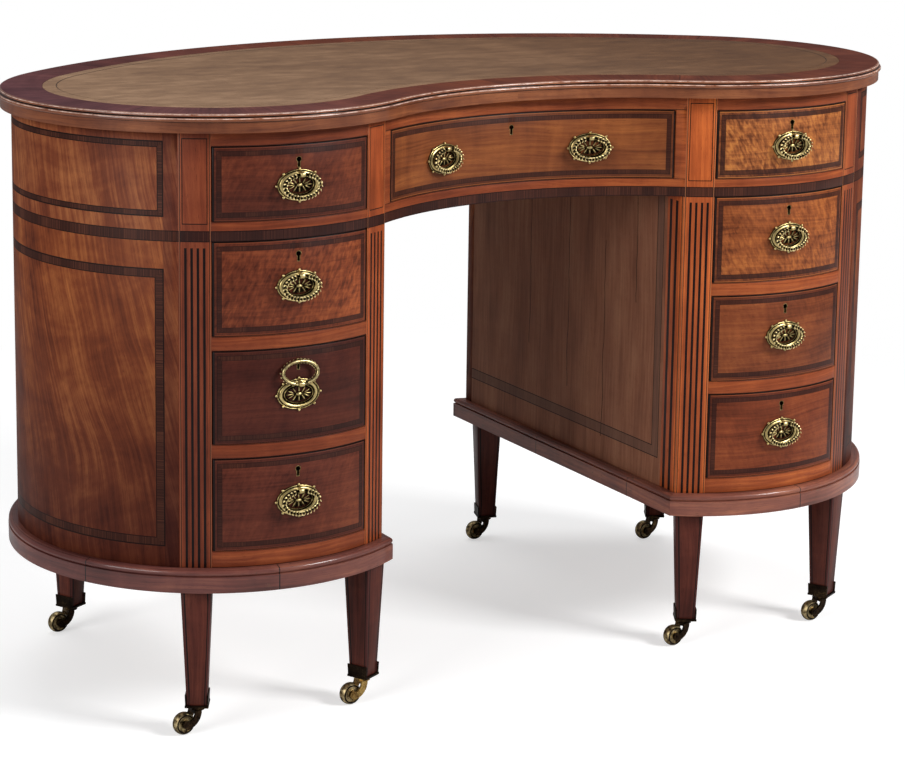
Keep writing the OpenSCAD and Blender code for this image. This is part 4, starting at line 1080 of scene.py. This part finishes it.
PULL_ZS = (LEVELS[0] + 0.03975, *[level + 0.056 for level in LEVELS[1:]])
CENTRE_PULL_X = 0.106
pull_places = {}
for side_name, side in SIDES:
    turn = math.asin(CENTRE_PULL_X / HOLLOW_R)
    spot = (side * HOLLOW_R * math.sin(turn), FRONT_Y + HOLLOW_R * math.cos(turn), PULL_ZS[0])
    swing = Matrix.Rotation(-side * turn, 4, "Z")
    pull_places[f"centre_bail_{side_name}"] = Matrix.Translation(spot) @ swing
    for number, pull_z in enumerate(PULL_ZS, 1):
        spot = (side * LOBE_X, LOBE_Y - FACE_R, pull_z)
        pull_places[f"{side_name}_bail_{number}"] = Matrix.Translation(spot)

for node in [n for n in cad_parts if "brasses" in n]:
    body = node.replace("brasses", "drawer")
    if node == "centre_brasses":
        bails, bend, number = ("centre_bail_left", "centre_bail_right"), -HOLLOW_R, 0
        x, face_y = 0.0, FRONT_Y + HOLLOW_R
    else:
        bails, bend, number = (node.replace("brasses", "bail"),), FACE_R, int(node[-1]) - 1
        x, face_y = pull_places[bails[0]].translation.x, LOBE_Y - FACE_R
    parts = [(lock_parts(x, face_y, LEVELS[number] + HEIGHTS[number] - KEY_DROP), STILL)]
    for bail_name in bails:
        plate = flat_plate.copy()
        bend_to_face(plate, bend, pull_places[bail_name])
        parts.append((plate, STILL))
    place_piece(f"{node}_cast", joined("brasses", parts), plate_finish, body, [node])

# ---------------------------------------------------------------- Bails
# Each handle's bail is a cast oval ring that swings on a pin through the eye: a round rod, smooth
# behind, with laurel leaves on its front from the eye down to the foot. Nine hang down; the one on
# the third drawer at the left is folded up and shows its smooth back.
BAIL_A, BAIL_B, BAIL_R = 0.0226, 0.0136, 0.0028
PIN_HALF = 0.003 + 0.0004 + BAIL_R
eye_turn = math.asin(PIN_HALF / BAIL_A) * (BAIL_A + BAIL_B) / (2 * BAIL_B)


def laurel_tree():
    """Geometry Nodes: leaves in threes along a rod, all on its front and pointing along it."""
    tree = bpy.data.node_groups.new("Laurel wreath", "GeometryNodeTree")
    face = tree.interface
    face.new_socket("Rod", in_out="INPUT", socket_type="NodeSocketGeometry")
    for name, value in (("Leaf spacing", 0.0039), ("Leaf length", 0.0046), ("Leaf width", 0.0025),
                        ("Rod radius", 0.0018)):
        socket = face.new_socket(name, in_out="INPUT", socket_type="NodeSocketFloat")
        socket.default_value = value
    metal = face.new_socket("Metal", in_out="INPUT", socket_type="NodeSocketMaterial").identifier
    face.new_socket("Wreath", in_out="OUTPUT", socket_type="NodeSocketGeometry")
    start, join = wired(tree, "NodeGroupInput").outputs, wired(tree, "GeometryNodeJoinGeometry")

    def shaped(kind, sockets, **settings):
        return wired(tree, kind, sockets, **settings).outputs[0]

    points = wired(tree, "GeometryNodeCurveToPoints",
                   {"Curve": start["Rod"], "Length": start["Leaf spacing"]}, mode="LENGTH")
    leaf = shaped("GeometryNodeMeshUVSphere", {"Segments": 8, "Rings": 6, "Radius": 0.5})
    thin = shaped("ShaderNodeMath", {0: start["Leaf width"], 1: 0.6}, operation="MULTIPLY")
    size = shaped("ShaderNodeCombineXYZ", {0: start["Leaf width"], 1: thin, 2: start["Leaf length"]})
    leaf = shaped("GeometryNodeTransform", {"Geometry": leaf, "Scale": size})
    ring = shaped("GeometryNodeCurvePrimitiveCircle", {"Resolution": 10, "Radius": start["Rod radius"]})
    wire = shaped("GeometryNodeCurveToMesh", {"Curve": start["Rod"], "Profile Curve": ring,
                                              "Fill Caps": True})
    feed(tree, join.inputs["Geometry"], wire)
    run = shaped("FunctionNodeAlignRotationToVector", {"Vector": points.outputs["Tangent"]}, axis="Z")
    front = shaped("FunctionNodeAlignRotationToVector", {"Rotation": run, "Vector": (0, -1, 0)},
                   axis="Y", pivot_axis="Z")
    for arm in (-1, 0, 1):
        turn = front
        for axis, angle in (((0, 0, 1), arm * math.radians(44)), ((1, 0, 0), math.radians(-34))):
            about = shaped("FunctionNodeAxisAngleToRotation", {"Axis": axis, "Angle": angle})
            turn = shaped("FunctionNodeRotateRotation", {"Rotation": turn, "Rotate By": about},
                          rotation_space="LOCAL")
        shift = shaped("GeometryNodeTransform", {"Geometry": leaf,
                                                 "Translation": (0, 0.0020, 0.0018 * (arm % 2))})
        sown = shaped("GeometryNodeInstanceOnPoints", {"Points": points.outputs["Points"],
                                                       "Instance": shift, "Rotation": turn})
        feed(tree, join.inputs["Geometry"], sown)
    real = shaped("GeometryNodeRealizeInstances", {"Geometry": join.outputs["Geometry"]})
    smooth = shaped("GeometryNodeSetShadeSmooth", {"Geometry": real})
    coat = shaped("GeometryNodeSetMaterial", {"Geometry": smooth, "Material": start["Metal"]})
    wired(tree, "NodeGroupOutput", {"Wreath": coat})
    return tree, metal


def wreath_half(side, tree, metal):
    """Half of the wreath, from the eye down to its foot, so that the leaves meet there."""
    curve = bpy.data.curves.new("rod", "CURVE")
    curve.dimensions = "3D"
    spline = curve.splines.new("POLY")
    turns = [eye_turn + (math.pi - eye_turn) * k / 40 for k in range(41)]
    spline.points.add(len(turns) - 1)
    for point, t in zip(spline.points, turns):
        point.co = (side * BAIL_A * math.sin(t), 0.0, BAIL_B * (math.cos(t) - 1), 1.0)
    rod = added("rod", curve)
    grow = rod.modifiers.new("Laurel", "NODES")
    grow.node_group = tree
    grow[metal] = bail_finish
    mesh = as_mesh(rod)
    bpy.data.objects.remove(rod)
    return mesh


def ring_relief(co):
    """High on the tips of the leaves and on the rod's back, low between the leaves."""
    part = math.atan2(co.x / BAIL_A, (co.z + BAIL_B) / BAIL_B)
    out = math.hypot(co.x - BAIL_A * math.sin(part), co.z + BAIL_B - BAIL_B * math.cos(part))
    away = math.hypot(out, co.y)
    return (away - 0.0023) / 0.0012 if co.y < 0.0004 else 0.75


laurel, laurel_metal = laurel_tree()
pin_end = PIN_HALF + 0.001
pin = turned([(0.0, -pin_end), (0.0015, -pin_end), (0.0015, pin_end), (0.0, pin_end)], 14)
wreath = joined("wreath", [(wreath_half(side, laurel, laurel_metal), STILL) for side in (-1, 1)]
                + [(pin, Matrix.Rotation(math.pi / 2, 4, "Z"))])
set_relief(wreath, ring_relief)
for bail_name, place in pull_places.items():
    hung = wreath.copy()
    if bail_name == "left_bail_3":
        hung.transform(Matrix.Rotation(math.radians(180 - 8), 4, "X"))
    hung.transform(place @ Matrix.Translation((0, -PULL_OUT, KNUCKLE_Z)))
    hung.materials.clear()
    place_piece(f"{bail_name}_wreath", hung, bail_finish, bail_name, [bail_name])

# ---------------------------------------------------------------- Top
# One board on the kidney plan. Its edge is a plain fascia under two polished reeds, with painted
# highlights on their crests and painted shade in the grooves under and between them; a crossgrained
# border surrounds the leather.
SLAB_T, REED_R, LAP, BORDER = 0.0224, 0.0025, 0.0003, 0.055
FASCIA_H, LEATHER_T, UNDER, MIDDLE = 0.013, 0.0015, 0.14, 0.12


def reed(inset, level, angles):
    """Points round one reed of the edge."""
    return [(inset - REED_R * math.cos(math.radians(a)), level + REED_R * math.sin(math.radians(a)))
            for a in angles]


upper_reed = reed(2 * REED_R, SLAB_T - REED_R, (-50, -30, -10, 5, 20, 35, 50, 65, 80, 92))
edge_section = [(UNDER, 0.0), (0.003, 0.0), (0.003, FASCIA_H),
                *reed(REED_R, FASCIA_H + REED_R - LAP, (-70, -50, -30, -10, 10, 30, 50, 70, 90, 104)),
                *upper_reed]
top_section = [upper_reed[-1], (0.008, SLAB_T), (0.020, SLAB_T), (BORDER, SLAB_T),
               (BORDER, SLAB_T - LEATHER_T), (MIDDLE, SLAB_T - LEATHER_T)]


def whole_outline(inset):
    """The whole kidney outline drawn in by inset, at even runs from the middle of the front."""
    ring = []
    for k in range(300):
        run = 2 * HALF_ROUND * k / 300
        x, y = outline(run if run <= HALF_ROUND else 2 * HALF_ROUND - run, inset)
        ring.append((x if run <= HALF_ROUND else -x, y, run))
    return ring


def swept(section, base):
    """A section swept round the kidney outline."""
    rings = [whole_outline(inset) for inset, z in section]
    return sweep(section, [[*ring, (*ring[0][:2], 2 * HALF_ROUND)] for ring in rings], base)


def level_face(piece, inset, z, shift=0.0):
    """A level face that fills the kidney outline drawn in by inset."""
    ring = whole_outline(inset)
    piece.face([(x, y, z) for x, y, run in ring], [(shift + x, shift + y) for x, y, run in ring])


def girth_to(section, count):
    """Distance along a section to its point of a number."""
    return sum(math.dist(a, b) for a, b in zip(section[:count], section[1:count + 1]))


fin = Finish("Top edge", coat=0.5, specular=0.2)
u, v = fin.veneer_place()
EDGE_TONES = (paint(78, 38, 26), paint(122, 69, 43), paint(156, 96, 60))
colour, pore = wood_grain(fin, v, u, EDGE_TONES, 113.0, flame=0.3)
groove_1, groove_2 = girth_to(edge_section, 2) + 0.0004, girth_to(edge_section, 12) + 0.0004
# Painted highlights: broken pale lines along the crest of each reed.
for crest, seed in ((girth_to(edge_section, 8) + 0.0003, 4.0), (girth_to(edge_section, 18), 6.0)):
    highlight_breaks = fin.noise(fin.times(u, 60), 0.0, seed, 4, 0.7)
    near = fin.ramp(fin.apart(v, crest), -1500.0, 1.2, clamp=True)
    crest_highlight = fin.times(fin.ramp(highlight_breaks, 4.5, -1.65, clamp=True), near)
    colour = fin.mix(crest_highlight, colour, paint(236, 206, 190))
# Painted shade: dark lines in the grooves under and between the reeds.
for groove, width in ((groove_1, 0.0011), (groove_2, 0.0014)):
    colour = fin.inlaid(colour, v, groove - width, groove + width, paint(16, 9, 8))
edge_finish = polish(fin, colour, pore, 0.22)
edge = swept(edge_section, SLAB_Z)
level_face(edge, UNDER, SLAB_Z)
place_piece("moulded_edge", edge.mesh("moulded_edge", smooth=50), edge_finish, "desk", ["top_board"])

fin = Finish("Top veneer", specular=0.07)
u, v = fin.veneer_place()
TOP_TONES = (paint(70, 36, 32), paint(104, 62, 52), paint(132, 84, 68))
colour, pore = wood_grain(fin, u, v, TOP_TONES, 111.0, flame=0.3)
joint = fin.calc("PINGPONG", fin.plus(u, 0.03), 0.125)
colour = fin.mix(fin.under(joint, 0.0005), colour, paint(46, 26, 22))
# Painted sheen and shade along the border: bluish grey at the left end, warmer and lighter in the middle,
# darker at the right.
border_sheen_and_shade = fin.shade(fin.ramp(fin.object_place()[0], 0.8, 0.5),
                 [(0.03, (0.60, 0.56, 0.92, 1)), (0.45, (0.78, 0.50, 0.28, 1)),
                  (0.97, (0.66, 0.48, 0.40, 1))])
top_finish = polish(fin, fin.mix(1.0, colour, border_sheen_and_shade, "MULTIPLY"), pore, 0.50)
top = swept(top_section, SLAB_Z)
level_face(top, MIDDLE, SLAB_Z + SLAB_T - LEATHER_T)
place_piece("crossbanded_border", top.mesh("crossbanded_border", smooth=50), top_finish, "desk", ())

# ---------------------------------------------------------------- Leather
# Brown leather let into the top, mottled in level streaks and paler towards the left with a painted
# sheen, with one blind-tooled line near its edge. Its thickness fills the recess.
fin = Finish("Leather", specular=0.12)
x, y, z = fin.object_place()
mottle = fin.noise(fin.times(x, 20), fin.times(y, 42), 3.0, 7, 0.68)
patch = fin.noise(fin.times(x, 3.5), fin.times(y, 7), 9.0, 3)
tone = fin.plus(fin.times(mottle, 0.6), fin.times(patch, 0.4))
colour = fin.shade(tone, [(0.34, paint(84, 56, 38)), (0.5, paint(104, 73, 50)), (0.66, paint(126, 92, 66))])
# Painted sheen: the leather paler and bluer towards the left, a little darker at the right.
painted_left_sheen = fin.ramp(x, -1.1, 0.35, clamp=True)
colour = fin.mix(1.0, colour, fin.mix(painted_left_sheen, (0.82, 0.78, 0.72, 1), (1.75, 2.1, 2.45, 1)), "MULTIPLY")
u, v = fin.veneer_place()
colour = fin.inlaid(colour, v, 0.0176, 0.0190, paint(64, 46, 34))
place = fin.node("TexCoord").outputs["Object"]
pebble = fin.node("TexVoronoi", {"Vector": place, "Scale": 900.0}).outputs[0]
height = fin.plus(fin.times(pebble, 0.5), fin.grain(160.0, 5.0))
leather_finish = fin.finish(colour, height, 0.00015, fin.ramp(mottle, 0.2, 0.5))
rim = BORDER + SEAT
leather_section = [(rim, -LEATHER_T), (rim, -0.0002), (rim + 0.0004, 0.0), (rim + 0.0170, 0.0),
                   (rim + 0.0174, -0.0003), (rim + 0.0182, -0.0003), (rim + 0.0186, 0.0), (MIDDLE, 0.0)]
leather = swept(leather_section, SLAB_Z + SLAB_T)
level_face(leather, MIDDLE, SLAB_Z + SLAB_T, 0.5)
level_face(leather, rim, SLAB_Z + SLAB_T - LEATHER_T, 0.5)
place_piece("tooled_leather", leather.mesh("tooled_leather"), leather_finish, "desk",
            ["leather_lining"])

# ---------------------------------------------------------------- Setting
# A plain white studio: a pale floor that keeps the desk's soft shadow, a large soft light at the
# right front and weaker ones at the left and above, and the camera at the photograph's angle.
scene = bpy.context.scene
floor_mesh = bpy.data.meshes.new("floor")
floor_mesh.from_pydata([(-15, -15, 0), (15, -15, 0), (15, 15, 0), (-15, 15, 0)], [], [(0, 1, 2, 3)])
floor = added("floor", floor_mesh)
paper = bpy.data.materials.new("White paper")
paper.use_nodes = True
tree = paper.node_tree
tree.nodes.clear()
grey = wired(tree, "ShaderNodeBsdfDiffuse", {"Color": (0.62, 0.62, 0.62, 1)}).outputs[0]
glow = wired(tree, "ShaderNodeEmission", {"Color": (1, 1, 1, 1), "Strength": 0.55}).outputs[0]
white = wired(tree, "ShaderNodeEmission").outputs[0]
place = wired(tree, "ShaderNodeTexCoord").outputs["Object"]
far = wired(tree, "ShaderNodeVectorMath", {0: place}, operation="LENGTH").outputs["Value"]
away = wired(tree, "ShaderNodeMapRange", {"Value": far, "From Min": 0.8, "From Max": 1.7}).outputs[0]
ray = wired(tree, "ShaderNodeLightPath").outputs["Is Camera Ray"]
both = wired(tree, "ShaderNodeAddShader", {0: grey, 1: glow}).outputs[0]
spread = wired(tree, "ShaderNodeMixShader", {0: away, 1: both, 2: white}).outputs[0]
choice = wired(tree, "ShaderNodeMixShader", {0: ray, 1: grey, 2: spread}).outputs[0]
wired(tree, "ShaderNodeOutputMaterial", {0: choice})
floor_mesh.materials.append(paper)

world = bpy.data.worlds.new("Studio")
scene.world = world
world.use_nodes = True
tree = world.node_tree
tree.nodes.clear()
seen = wired(tree, "ShaderNodeBackground", {"Color": (1, 1, 1, 1)}).outputs[0]
dim = wired(tree, "ShaderNodeBackground", {"Color": (0.93, 0.96, 1.0, 1), "Strength": 0.2}).outputs[0]
ray = wired(tree, "ShaderNodeLightPath").outputs["Is Camera Ray"]
choice = wired(tree, "ShaderNodeMixShader", {0: ray, 1: dim, 2: seen}).outputs[0]
wired(tree, "ShaderNodeOutputWorld", {0: choice})


def soft_light(name, spot, aim, width, height, power):
    """A large soft lamp that faces a point."""
    data = bpy.data.lights.new(name, "AREA")
    data.shape = "RECTANGLE"
    data.size, data.size_y, data.energy = width, height, power
    lamp = added(name, data)
    lamp.location = spot
    lamp.rotation_euler = (Vector(aim) - Vector(spot)).to_track_quat("-Z", "Y").to_euler()


soft_light("key light", (2.2, -2.9, 2.7), (0.05, -0.1, 0.45), 1.3, 1.1, 160)
soft_light("left light", (-3.2, -1.2, 1.6), (-0.3, 0.0, 0.45), 1.8, 1.6, 62)
soft_light("top light", (0.2, 0.9, 3.0), (0.0, 0.0, 0.7), 2.4, 1.4, 36)

camera_data = bpy.data.cameras.new("camera")
camera = added("camera", camera_data)
# Fitted to the photograph: the angles in radians, the place in metres, and in the photograph's
# pixels its size, the lens and the point where the camera looks straight ahead.
photo_w, photo_h, photo_lens, ahead_x, ahead_y = 905, 775, 2615.98, 355.01, 233.6
turn, tip, roll = 0.48186, -0.18809, 0.00734
ahead = Vector((math.sin(turn) * math.cos(tip), math.cos(turn) * math.cos(tip), math.sin(tip)))
across = Vector((math.cos(turn), -math.sin(turn), 0.0))
upward = across.cross(ahead)
level = across * math.cos(roll) + upward * math.sin(roll)
upward = -across * math.sin(roll) + upward * math.cos(roll)
camera.matrix_world = Matrix.Translation((-1.66956, -2.97287, 1.16887)) @ Matrix(
    (level, upward, -ahead)).transposed().to_4x4()
camera_data.lens = camera_data.sensor_width * photo_lens / photo_w
camera_data.shift_x = (photo_w / 2 - ahead_x) / photo_w
camera_data.shift_y = (ahead_y - photo_h / 2) / photo_w
camera_data.clip_end = 60
scene.camera = camera
scene.view_settings.view_transform = "Standard"
